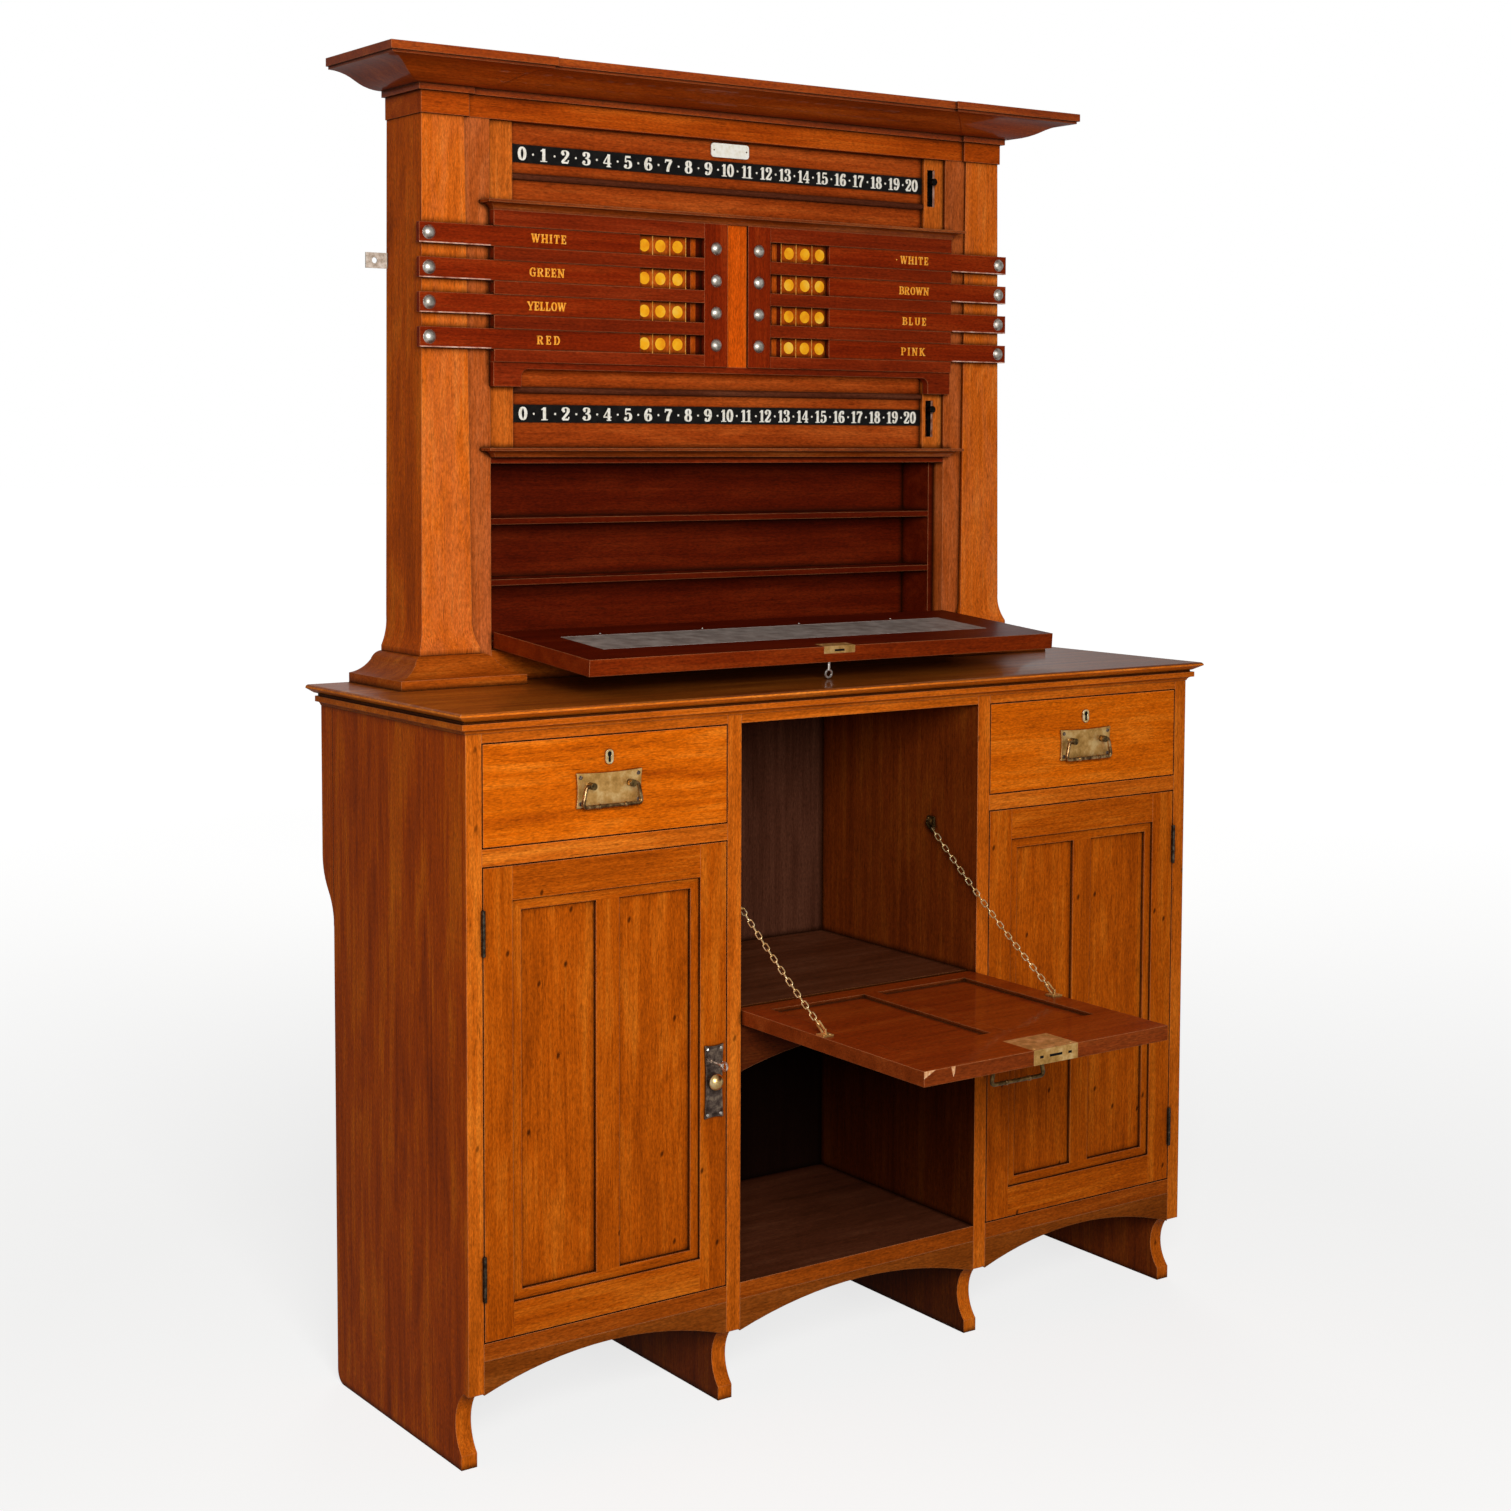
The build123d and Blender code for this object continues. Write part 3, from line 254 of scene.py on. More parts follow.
# Dark, middle and light tone of the woods that share one; any other wood has its own beside its name
tones = {
    "door": ("#7E3202", "#B25006", "#D27018"),
    "rail": ("#8F4005", "#C45E10", "#E47E22"),
    "bar": ("#601604", "#842506", "#A03A10"),
    # shade: darker tone of the inner woods, painted shade inside the cabinet and wood that the sun has not
    # faded
    "shade": ("#4C1A05", "#6A2A08", "#84400F"),
    "backBoard": ("#361A0F", "#4C2A1C", "#5E3827"),
}


def stain(tree, under, code, level, span, depth, patches=None):
    # a colour that comes in as the level passes along the span, in patches where these are given
    share = addNode(tree, "ShaderNodeMapRange", {
        "From Min": span[0], "From Max": span[1], "To Max": depth, "Value": level}).outputs[0]
    if patches is not None:
        share = addNode(tree, "ShaderNodeMath", {"operation": "MULTIPLY", 0: share, 1: patches}).outputs[0]
    return addNode(tree, "ShaderNodeMix", {
        "data_type": "RGBA", 7: hexColour(code), 0: share, 6: under}).outputs[2]


def shaded(tree, under, level, span, scales):
    # a colour made darker or paler as the level passes along the span
    scale = addNode(tree, "ShaderNodeMapRange", {
        "From Min": span[0], "From Max": span[1], "To Min": scales[0], "To Max": scales[1],
        "Value": level}).outputs[0]
    return addNode(tree, "ShaderNodeVectorMath", {
        "operation": "SCALE", 0: under, "Scale": scale}).outputs[0]


def arris(tree, reach):
    # a normal rounded over the edges, and its turn from the face's own: 1 on the flat, less at an edge
    rounded = addNode(tree, "ShaderNodeBevel", {"samples": 4, "Radius": reach * mm}).outputs[0]
    flat = addNode(tree, "ShaderNodeNewGeometry").outputs["Normal"]
    turned = addNode(tree, "ShaderNodeVectorMath", {"operation": "DOT_PRODUCT", 0: rounded, 1: flat})
    return rounded, turned.outputs["Value"]


def woodMaterial(name, codes, grain, shift, flame=0.0, dents=0.0, paintedSheen=0.0, shadeBelow=0.0, litEnd=1.0, coat=0.0):
    material, tree = newMaterial(name)
    place = addNode(tree, "ShaderNodeTexCoord").outputs["Object"]
    axes = addNode(tree, "ShaderNodeSeparateXYZ", {0: place})
    dark, middle, light = codes
    layers = {}
    for layer, (width, length, warp) in mahogany["layers"].items():
        # noise drawn out along the board's length
        size = [(length if axis == grain else width) * mm for axis in "xyz"]
        lean = math.radians(mahogany["flameLean"]) if layer == "flame" else 0.0
        drawn = addNode(tree, "ShaderNodeMapping", {
            "vector_type": "TEXTURE", "Location": [shift * share for share in mahogany["drift"]],
            "Rotation": (0.0, lean, 0.0), "Scale": size, "Vector": place})
        layers[layer] = addNode(tree, "ShaderNodeTexNoise", {
            "Scale": 1.0, "Detail": mahogany["detail"], "Distortion": warp,
            "Roughness": mahogany["noiseRoughness"], "Vector": drawn.outputs[0]}).outputs[0]
    figured = layers["ribbon"]
    shares = {"streak": mahogany["streakShare"], "figure": mahogany["figureShare"], "flame": flame}
    for layer, share in shares.items():
        figured = addNode(tree, "ShaderNodeMix", {
            "data_type": "FLOAT", 0: share, 2: figured, 3: layers[layer]}).outputs[0]
    span = mahogany["contrast"]
    colour = addNode(tree, "ShaderNodeValToRGB", {
        "stops": [(0.5 - span, dark), (0.5, middle), (0.5 + span, light)], "Fac": figured}).outputs[0]
    # painted sheen: pale patches stand for a soft reflection of the light on the polish, then fine specks and
    # open pores
    colour = stain(tree, colour, mahogany["paintedSheenColour"], layers["paintedSheen"], mahogany["paintedSheenSpan"], paintedSheen)
    depth = mahogany["speckleDepth"]
    colour = shaded(tree, colour, layers["speckle"], mahogany["speckleSpan"], (1.0 - depth, 1.0 + depth))
    colour = stain(tree, colour, mahogany["grimeAndShade"], layers["pore"], mahogany["poreSpan"],
                   mahogany["poreDepth"])
    # rounded arrises catch the light through the bevelled normal, and are coloured paler in patches: handling
    # wear and a painted highlight
    rounded, turned = arris(tree, mahogany["wearReach"])
    colour = stain(tree, colour, mahogany["wearAndHighlightColour"], turned, mahogany["wearAndHighlightSpan"],
                   mahogany["wearAndHighlightDepth"], layers["flame"])
    # painted shade: ambient occlusion darkens the corners, standing also for old polish and dust gathered
    # there
    cornerShade = addNode(tree, "ShaderNodeAmbientOcclusion", {
        "samples": 8, "only_local": False, "Distance": mahogany["cornerShadeReach"] * mm})
    colour = stain(tree, colour, mahogany["grimeAndShade"], cornerShade.outputs["AO"], mahogany["cornerShadeSpan"],
                   mahogany["cornerShadeDepth"])
    if dents:
        # a few knocks and pin knots on the front, spread over the X and Z of the board
        spacing = [size * mm for size in mahogany["dentSpacing"]]
        laid = addNode(tree, "ShaderNodeMapping", {
            "vector_type": "TEXTURE", "Location": (shift, shift, shift),
            "Rotation": (math.pi / 2, mahogany["dentLean"], 0.0), "Scale": (*spacing, 1.0),
            "Vector": place})
        spots = addNode(tree, "ShaderNodeTexVoronoi", {
            "voronoi_dimensions": "2D", "Scale": 1.0, "Vector": laid.outputs[0]})
        chosen = addNode(tree, "ShaderNodeMath", {
            "operation": "LESS_THAN", 1: mahogany["dentShare"], 0: spots.outputs["Color"]}).outputs[0]
        colour = stain(tree, colour, mahogany["grimeAndShade"], spots.outputs["Distance"], mahogany["dentSpan"],
                       dents, chosen)
    if litEnd > 1.0:
        # painted light: one end of the board is made paler, as if lit more strongly
        colour = shaded(tree, colour, axes.outputs["X"], mahogany["litEndSpan"], (1.0, litEnd))
    if shadeBelow:
        # painted shade: the wood is darkened towards black below the given height, where the lower bay lies
        # in shade
        colour = stain(tree, colour, mahogany["shadeBelowColour"], axes.outputs["Z"], mahogany["shadeBelowSpan"], shadeBelow)
    smoothest, roughest = mahogany["roughness"]
    dull = addNode(tree, "ShaderNodeMapRange", {
        "To Min": smoothest, "To Max": roughest, "Value": layers["streak"]})
    strength, depth = mahogany["relief"]
    relief = addNode(tree, "ShaderNodeBump", {
        "Strength": strength, "Distance": depth * mm, "invert": True, "Height": layers["pore"],
        "Normal": rounded})
    finishMaterial(tree, {
        "IOR": mahogany["ior"], "Specular IOR Level": mahogany["specular"], "Coat Weight": coat,
        "Coat Roughness": mahogany["coatRoughness"], "Base Color": colour, "Roughness": dull.outputs[0],
        "Normal": relief.outputs[0]})
    return material


doorUpright = woodMaterial("doorMahoganyUpright", tones["door"], "z", 1.1, dents=0.8)
doorLevel = woodMaterial("doorMahoganyLevel", tones["door"], "x", 3.1, dents=0.8)
doorPanel = woodMaterial("doorMahoganyPanel", tones["door"], "z", 7.7, dents=0.8)
drawerWood = woodMaterial("drawerMahogany", ("#A24203", "#D26206", "#EE821E"), "x", 2.3)
railLevel = woodMaterial("railMahoganyLevel", tones["rail"], "x", 4.3)
railUpright = woodMaterial("railMahoganyUpright", tones["rail"], "z", 6.3, dents=0.6)
# the base top's tone is darkened as painted shade and a painted reflection of the dark flap above it; painted
# light makes its left end paler
topPaintedLightAndShade = woodMaterial("baseTopPaintedLightAndShade", ("#5C260A", "#80400E", "#A05A1C"), "x", 5.1, litEnd=2.0, coat=0.25)
# painted light: a brighter tone for the nose and the other faces of the base top that do not face up
nosePaintedLight = woodMaterial("topNosePaintedLight", ("#A84E0A", "#E27418", "#FF9A38"), "x", 9.1)
sideWood = woodMaterial("sideMahogany", ("#6A2200", "#B04602", "#DC7010"), "z", 5.3)
# the columns and stiles carry patches of painted sheen
columnWood = woodMaterial("flameMahoganyColumn", ("#9E4206", "#D66618", "#F08C3A"), "z", 2.2, flame=0.2,
                          paintedSheen=0.3)
columnSide = woodMaterial("columnSideMahogany", ("#7C2E00", "#C65404", "#E67A1C"), "z", 3.4, flame=0.1)
stileWood = woodMaterial("stileMahogany", ("#7E340E", "#B2541E", "#D0743C"), "z", 9.4, flame=0.15,
                         paintedSheen=0.4)
frameStile = woodMaterial("frameStileMahogany", ("#8E3A0A", "#CA641C", "#E88636"), "z", 4.8)
plinthWood = woodMaterial("plinthMahogany", ("#823606", "#AA4E0E", "#C46A20"), "x", 8.3)
numberWood = woodMaterial("numberBoardMahogany", ("#782A08", "#A04010", "#C25C20"), "x", 6.6)
# painted shade: the pointer rail takes a dark tone for the shade on it
pointerPaintedShade = woodMaterial("pointerRailPaintedShade", ("#3E1A0E", "#582A18", "#70402A"), "x", 1.9)
friezeWood = woodMaterial("friezeMahogany", ("#842E04", "#B0480A", "#D06418"), "x", 2.7)
corniceWood = woodMaterial("corniceMahogany", ("#702A06", "#983C0A", "#B45418"), "x", 5.9, coat=0.2)
smallCornice = woodMaterial("smallCorniceMahogany", ("#5E2408", "#86380C", "#B0622A"), "x", 7.7, coat=0.2)
housingWood = woodMaterial("housingMahogany", ("#5E1806", "#7E2609", "#983814"), "x", 4.6)
barWood = woodMaterial("scoreBarMahogany", tones["bar"], "x", 3.6)
barUpright = woodMaterial("housingMahoganyUpright", tones["bar"], "z", 6.1)
stripWood = woodMaterial("centreStripMahogany", ("#AC4004", "#DC580A", "#F2761E"), "z", 8.8)
compartmentWood = woodMaterial("compartmentMahogany", ("#440D02", "#581503", "#6E2208"), "x", 7.1)
flapInside = woodMaterial("flapMahoganyInside", ("#762808", "#90350A", "#A84C17"), "x", 1.3, coat=0.3)
flapEdgeWood = woodMaterial("flapMahoganyEdge", ("#602609", "#7C3410", "#92481C"), "x", 1.7)
darkEdgeWood = woodMaterial("upperFlapMahogany", ("#5C1A04", "#782706", "#8E380E"), "x", 4.9)
apronWood = woodMaterial("apronMahogany", ("#662C06", "#84400E", "#9E541C"), "x", 3.3)
# inner faces take the shade tone: painted shade and unfaded wood
shadeUpright = woodMaterial("innerMahoganyUprightShaded", tones["shade"], "z", 2.9)
shadeLevel = woodMaterial("innerMahoganyLevelShaded", tones["shade"], "x", 3.9)
lowRail = woodMaterial("bottomRailMahogany", ("#6E2E04", "#9A450A", "#BA601A"), "x", 8.1)
# painted shade: the bay's shelf and lower floor boards take dark tones for the shade inside
shelfShade = woodMaterial("shelfBoardPaintedShade", ("#442010", "#5E301A", "#76462E"), "x", 6.8, coat=0.1)
lowFloorShade = woodMaterial("lowFloorBoardPaintedShade", ("#42200F", "#5A2D1A", "#704028"), "x", 4.4)
# painted shade darkens the dividers' inner faces below the mid shelf
dividerInside = woodMaterial("dividerInsidePaintedShade", tones["shade"], "z", 6.2, shadeBelow=0.55)
# painted shade: the middle apron under the mid shelf takes a dark tone
middleApronShade = woodMaterial("middleApronPaintedShade", ("#3A1404", "#4E1E08", "#62300F"), "x", 2.6)
# painted shade darkens the base back below the mid shelf
baseBack = woodMaterial("baseBackPaintedShade", tones["backBoard"], "z", 7.2, shadeBelow=0.9)
backBoard = woodMaterial("backBoardMahogany", tones["backBoard"], "z", 5.7)
groundWood = woodMaterial("lifeGroundMahogany", ("#943608", "#B24A0C", "#CC641C"), "z", 9.9)
seamShade = woodMaterial("darkSeamLine", ("#260C03", "#3A1605", "#54260C"), "z", 1.5)
cedarWood = woodMaterial("bareCedar", ("#7C4A24", "#9C6535", "#B58149"), "x", 0.7)
print("woods")

# Cast and rolled brass, lacquer gone: dull yellow brown, brighter where hands and cloths rub its edges
metalwork = {"stops": (0.36, 0.5, 0.64), "detail": 6.0, "noiseRoughness": 0.65, "scratch": 0.9, "edge": 0.7,
             "edgeDepth": 0.8, "edgeSpan": (0.98, 0.82), "dullSpan": (0.3, 0.7), "tarnish": 0.12,
             "relief": (0.15, 0.1)}


def metalMaterial(name, codes, roughness, spot, metallic=1.0):
    material, tree = newMaterial(name)
    place = addNode(tree, "ShaderNodeTexCoord").outputs["Object"]
    blotch = addNode(tree, "ShaderNodeTexNoise", {
        "Scale": 1 / (spot * mm), "Detail": metalwork["detail"], "Roughness": metalwork["noiseRoughness"],
        "Vector": place}).outputs[0]
    fine = addNode(tree, "ShaderNodeTexNoise", {
        "Scale": 1 / (metalwork["scratch"] * mm), "Vector": place}).outputs[0]
    colour = addNode(tree, "ShaderNodeValToRGB", {
        "stops": list(zip(metalwork["stops"], codes)), "Fac": blotch}).outputs[0]
    rounded, turned = arris(tree, metalwork["edge"])
    rubbed = stain(tree, colour, codes[2], turned, metalwork["edgeSpan"], metalwork["edgeDepth"])
    low, high = metalwork["dullSpan"]
    dull = addNode(tree, "ShaderNodeMapRange", {
        "From Min": low, "From Max": high, "To Min": roughness + metalwork["tarnish"], "To Max": roughness,
        "Value": blotch})
    strength, depth = metalwork["relief"]
    relief = addNode(tree, "ShaderNodeBump", {
        "Strength": strength, "Distance": depth * mm, "Height": fine, "Normal": rounded})
    finishMaterial(tree, {
        "Metallic": metallic, "Base Color": rubbed, "Roughness": dull.outputs[0],
        "Normal": relief.outputs[0]})
    return material


plateBrass = metalMaterial("tarnishedBrass", ("#B08444", "#D6A660", "#F2CC8A"), 0.46, 16.0)
bailBrass = metalMaterial("handledBrass", ("#4C3620", "#80603C", "#D2AE78"), 0.28, 9.0)
knobBrass = metalMaterial("rubbedBrass", ("#B88E54", "#DCB676", "#F4DCA8"), 0.24, 14.0)
chainBrass = metalMaterial("paleBrassWire", ("#C29A60", "#EACB8C", "#FDEDC6"), 0.22, 5.0, 0.7)
# dark brass, also used as painted shade on the bail under the lower flap
darkBrassAndShade = metalMaterial("darkBrassAndShade", ("#3A2C1C", "#65502F", "#8F7144"), 0.42, 8.0)
studNickel = metalMaterial("dullNickel", ("#8A8278", "#B4ACA0", "#DCD6CC"), 0.36, 7.0)
keySteel = metalMaterial("brightSteel", ("#B8B2A8", "#E2DDD4", "#F8F6F2"), 0.3, 6.0)
knobPlateBrass = metalMaterial("bronzedBrass", ("#3C302A", "#64544C", "#9C8874"), 0.4, 9.0)
hingeIron = metalMaterial("oldHingeIron", ("#262019", "#3E362C", "#5C5244"), 0.5, 7.0)
blackIron = metalMaterial("blackIron", ("#0B0A09", "#171513", "#2A2623"), 0.45, 5.0)
paintedIron = metalMaterial("paintedIron", ("#9A8A78", "#C2B4A2", "#DAD0C2"), 0.55, 6.0, 0.0)


# Oil paint, shellac stain, bone and inlay: an even colour with faint clouding and a slightly uneven skin
paintwork = {"stops": (0.33, 0.5, 0.67), "detail": 5.0, "noiseRoughness": 0.6, "spread": 0.08,
             "relief": (0.15, 0.1), "ior": 1.5, "specular": 0.12}


def paintMaterial(name, codes, roughness, spot):
    material, tree = newMaterial(name)
    place = addNode(tree, "ShaderNodeTexCoord").outputs["Object"]
    blotch = addNode(tree, "ShaderNodeTexNoise", {
        "Scale": 1 / (spot * mm), "Detail": paintwork["detail"], "Roughness": paintwork["noiseRoughness"],
        "Vector": place}).outputs[0]
    colour = addNode(tree, "ShaderNodeValToRGB", {
        "stops": list(zip(paintwork["stops"], codes)), "Fac": blotch}).outputs[0]
    dull = addNode(tree, "ShaderNodeMapRange", {
        "To Min": roughness - paintwork["spread"], "To Max": roughness + paintwork["spread"],
        "Value": blotch})
    strength, depth = paintwork["relief"]
    relief = addNode(tree, "ShaderNodeBump", {
        "Strength": strength, "Distance": depth * mm, "Height": blotch})
    finishMaterial(tree, {
        "IOR": paintwork["ior"], "Specular IOR Level": paintwork["specular"], "Base Color": colour,
        "Roughness": dull.outputs[0], "Normal": relief.outputs[0]})
    return material


# black stain for the number strips, and painted shade on the peg slots' walls
blackStainAndSlotShade = paintMaterial("ebonisedStripAndSlotShade", ("#080706", "#0F0D0C", "#1B1815"), 0.42, 14.0)
whitePaint = paintMaterial("oldWhitePaint", ("#DDD5C0", "#F4EFE1", "#FBF8EE"), 0.5, 4.0)
goldPaint = paintMaterial("goldSizePaint", ("#F28C14", "#FFA430", "#FFC05C"), 0.42, 3.0)
boxwood = paintMaterial("boxwoodInlay", ("#F09414", "#FFB41C", "#FFCA4C"), 0.4, 30.0)
boxwoodLine = paintMaterial("boxwoodLine", ("#C9781E", "#DC9238", "#EBB060"), 0.42, 3.0)
bone = paintMaterial("bonePlate", ("#ECE6D2", "#F7F4E7", "#FCFAF0"), 0.36, 6.0)
keyholeShade = paintMaterial("keyholeShade", ("#030202", "#060504", "#0A0807"), 0.7, 3.0)
# painted highlight: pale strips on arrises and slot walls that catch the light
paleEdgeHighlight = paintMaterial("rubbedBarEdge", ("#8A4A34", "#C89078", "#E8C0AC"), 0.5, 12.0)
bareWood = paintMaterial("chippedWood", ("#B87848", "#D69C6C", "#E8BC92"), 0.6, 3.0)
slateLine = paintMaterial("wornSlateEdge", ("#A79C93", "#C9BFB6", "#DDD5CC"), 0.6, 9.0)
writingSlate = paintMaterial("writingSlate", ("#80746C", "#988C83", "#AEA299"), 0.55, 22.0)
print("metals and paints")


# Finish for each CAD node; a test on a face's middle and facing picks what has another finish
def dress(name, material, *others):
    mesh = nodes[name].data
    mesh.materials.clear()
    for finish in (material, *[other for other, test in others]):
        mesh.materials.append(finish)
    for face in mesh.polygons:
        face.material_index = 0
        for index, (other, test) in enumerate(others, start=1):
            if test(face.center, face.normal):
                face.material_index = index


joinery = {
    "facing": 0.5,
    "curvedFacing": 0.3,
    "sideInside": 0.6,
    "bay": 0.2035,
    "doorStile": 0.041,
    "doorRail": 0.043,
    "panelFace": 0.006,
    "innerFrame": 0.0136,
    "drawerFront": 0.0203,
    "keyholePlate": 0.866,
    "knobPlate": 0.0021,
    "hinges": 0.5,
    "stud": 0.0055,
    "studFoot": 0.0001,
    "railFront": 0.045,
    "middleApron": 0.3,
    "lowFloor": 0.2,
    "backStrip": 0.5885,
    "pointer": 0.3085,
    "caseHead": 1.24,
    "sill": 0.9905,
    "centreStrip": 0.0175,
    "centreStile": 0.0582,
    "wallEyes": (0.204, 0.05),
    "pegSlot": (0.366, 0.382, 1.7),
}
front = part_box("left_drawer")[0].y


def inSlot(centre, normal):
    slotLeft, slotRight, slotTop = joinery["pegSlot"]
    return slotLeft < centre.x < slotRight and abs(normal.y) < joinery["facing"] and centre.z < slotTop


def isWallEye(centre, normal):
    eyeX, eyeY = joinery["wallEyes"]
    return abs(centre.x) < eyeX and centre.y > eyeY


def facesFront(centre, normal):
    return normal.y < -joinery["facing"]


def facesUp(centre, normal):
    return normal.z > joinery["facing"]


def curvesFront(centre, normal):
    return normal.y < -joinery["curvedFacing"]


def standsProud(centre, normal):
    return centre.y < front - joinery["knobPlate"]


for side in ("left", "right"):
    dress(f"{side}_side_panel", sideWood, (railUpright, curvesFront),
          (shadeUpright, lambda c, n: abs(n.x) > joinery["facing"] and abs(c.x) < joinery["sideInside"]))
    dress(f"{side}_divider", shadeUpright, (dividerInside, lambda c, n: abs(c.x) < joinery["bay"]),
          (railUpright, curvesFront))
    dress(f"{side}_column", columnSide, (columnWood, facesFront))
    low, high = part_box(f"{side}_door")
    inLeft = low.x + joinery["doorStile"]
    inRight = high.x - joinery["doorStile"]
    inLow = low.z + joinery["doorRail"]
    inHigh = high.z - joinery["doorRail"]
    deep = low.y + joinery["panelFace"]
    inner = joinery["innerFrame"]
    dress(
        f"{side}_door", doorUpright,
        (doorLevel, lambda c, n: inLeft < c.x < inRight and not inLow + inner < c.z < inHigh - inner),
        (doorPanel, lambda c, n: inLeft < c.x < inRight and inLow < c.z < inHigh and c.y > deep),
    )
    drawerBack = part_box(f"{side}_drawer")[0].y + joinery["drawerFront"]
    dress(f"{side}_drawer", drawerWood, (cedarWood, lambda c, n: c.y > drawerBack))
    dress(f"{side}_drawer_fittings", plateBrass, (darkBrassAndShade, standsProud),
          (chainBrass, lambda c, n: c.z > joinery["keyholePlate"]))
    dress(f"{side}_drawer_bail", bailBrass)
    dress(f"{side}_door_fittings", knobPlateBrass, (knobBrass, standsProud),
          (hingeIron, lambda c, n: abs(c.x) > joinery["hinges"]))
    for row in range(1, 5):
        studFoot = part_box(f"{side}_bar_{row}")[0].y + joinery["stud"] - joinery["studFoot"]
        dress(f"{side}_bar_{row}", barWood, (studNickel, lambda c, n: c.y < studFoot))
plainFinishes = {
    "top_moulding": railLevel, "frieze": friezeWood, "column_plinths": plinthWood, "upper_stiles": stileWood,
    "score_back": barWood, "small_cornices": smallCornice, "housing_apron": housingWood,
    "ball_shelves": compartmentWood, "life_strips": compartmentWood, "cornice": corniceWood,
    "number_strips": blackStainAndSlotShade, "slate_panel": writingSlate, "fixed_studs": studNickel,
    # the lower flap's bail hangs in the flap's shadow and takes dark brass as painted shade
    "lower_flap_fittings": plateBrass, "lower_flap_bail": darkBrassAndShade, "upper_flap_fittings": plateBrass,
    "left_door_key": keySteel, "upper_flap_key": keySteel, "upper_peg": blackIron, "lower_peg": blackIron,
    "wall_plates": paintedIron, "chains": chainBrass,
}
for name, finish in plainFinishes.items():
    dress(name, finish)
# the base top's nose and lower faces take the painted-light tone; its top face takes the painted shade and
# reflection
dress("base_top", nosePaintedLight, (topPaintedLightAndShade, facesUp))
dress("drawer_rails", railLevel, (shadeLevel, lambda c, n: c.y > front + joinery["railFront"]))
# the middle apron takes the painted shade tone
dress("aprons", apronWood, (middleApronShade, lambda c, n: c.z > joinery["middleApron"]))
# the pointer rails take the painted shade tone
dress("number_boards", numberWood, (pointerPaintedShade, lambda c, n: c.y < joinery["pointer"]))
# painted shade: the peg slots' inner walls are painted black for the dark inside the slots
dress("frame_stiles", frameStile, (blackStainAndSlotShade, inSlot))
dress("upper_flap", darkEdgeWood, (compartmentWood, facesUp))
# shelf and lower floor take the painted shade tones
dress("floor_boards", shelfShade, (lowFloorShade, lambda c, n: c.z < joinery["lowFloor"]), (lowRail, facesFront))
dress("base_back", backBoard, (baseBack, facesFront),
      (sideWood, lambda c, n: abs(c.x) > joinery["backStrip"]))
dress("upper_back", compartmentWood, (backBoard, lambda c, n: n.y > joinery["facing"]))
dress("compartment_case", compartmentWood,
      (housingWood, lambda c, n: facesFront(c, n) and c.z > joinery["caseHead"]),
      (plinthWood, lambda c, n: c.z < joinery["sill"]))
dress("lower_flap", flapInside, (flapEdgeWood, lambda c, n: abs(n.z) < joinery["facing"]),
      (doorLevel, lambda c, n: n.z < -joinery["facing"]))
dress("score_frame", housingWood, (stripWood, lambda c, n: abs(c.x) < joinery["centreStrip"]),
      (barUpright, lambda c, n: joinery["centreStrip"] <= abs(c.x) < joinery["centreStile"]))
dress("fixed_fittings", hingeIron, (darkBrassAndShade, isWallEye))
print("CAD nodes dressed")

# Pen strokes of the figures and letters, in hundredths of the letter's height.
# line: two ends and a width; curve: points of a smooth stroke; ring: centre and radii; ball: centre
# and radius; stem and feet: the middle of an upright and of its serifs; cap and foot: a serif's ends
figures = {
    "0": [("ring", 28, 50, 19, 46)],
    "1": [("line", 28, 0, 28, 97, 20), ("line", 24, 93, 8, 78, 8), ("line", 6, 3.5, 50, 3.5, 7)],
    "2": [("ball", 14, 70, 10),
          ("curve", (9, 72), (13, 90), (28, 96), (43, 87), (44, 66), (31, 42), (15, 20), (8, 6)),
          ("line", 6, 7, 46, 7, 14), ("line", 45, 5, 50, 27, 8)],
    "3": [("ball", 13, 74, 9), ("ball", 12, 25, 10),
          ("curve", (9, 76), (15, 92), (28, 96), (41, 88), (42, 68), (32, 56), (20, 53)),
          ("curve", (20, 53), (36, 49), (46, 35), (44, 14), (28, 4), (13, 9), (7, 24))],
    "4": [("line", 36, 96, 3, 30, 8), ("line", 0, 28, 56, 28, 9), ("line", 38, 0, 38, 97, 18),
          ("line", 22, 3.5, 54, 3.5, 7)],
    "5": [("line", 11, 90, 46, 90, 15), ("line", 13, 92, 10, 50, 8), ("ball", 12, 22, 10),
          ("curve", (10, 50), (23, 60), (38, 57), (46, 40), (44, 16), (28, 4), (13, 8), (7, 22))],
    "6": [("ball", 42, 79, 9), ("curve", (46, 83), (36, 95), (23, 90), (12, 68), (9, 40), (14, 13), (28, 4),
           (42, 12), (46, 30), (40, 48), (29, 54), (18, 46), (13, 34))],
    "7": [("line", 5, 89, 50, 89, 16), ("line", 7, 92, 5, 70, 7),
          ("curve", (48, 88), (36, 62), (26, 34), (22, 2))],
    "8": [("ring", 28, 74, 14, 21), ("ring", 28, 28, 18, 24)],
    "9": [("ball", 14, 21, 9),
          ("curve", (10, 17), (20, 5), (33, 10), (44, 32), (47, 60), (42, 87), (28, 96),
           (14, 88), (10, 70), (16, 52), (27, 46), (38, 54), (43, 66))],
    ".": [("ball", 28, 48, 8.5)],
}
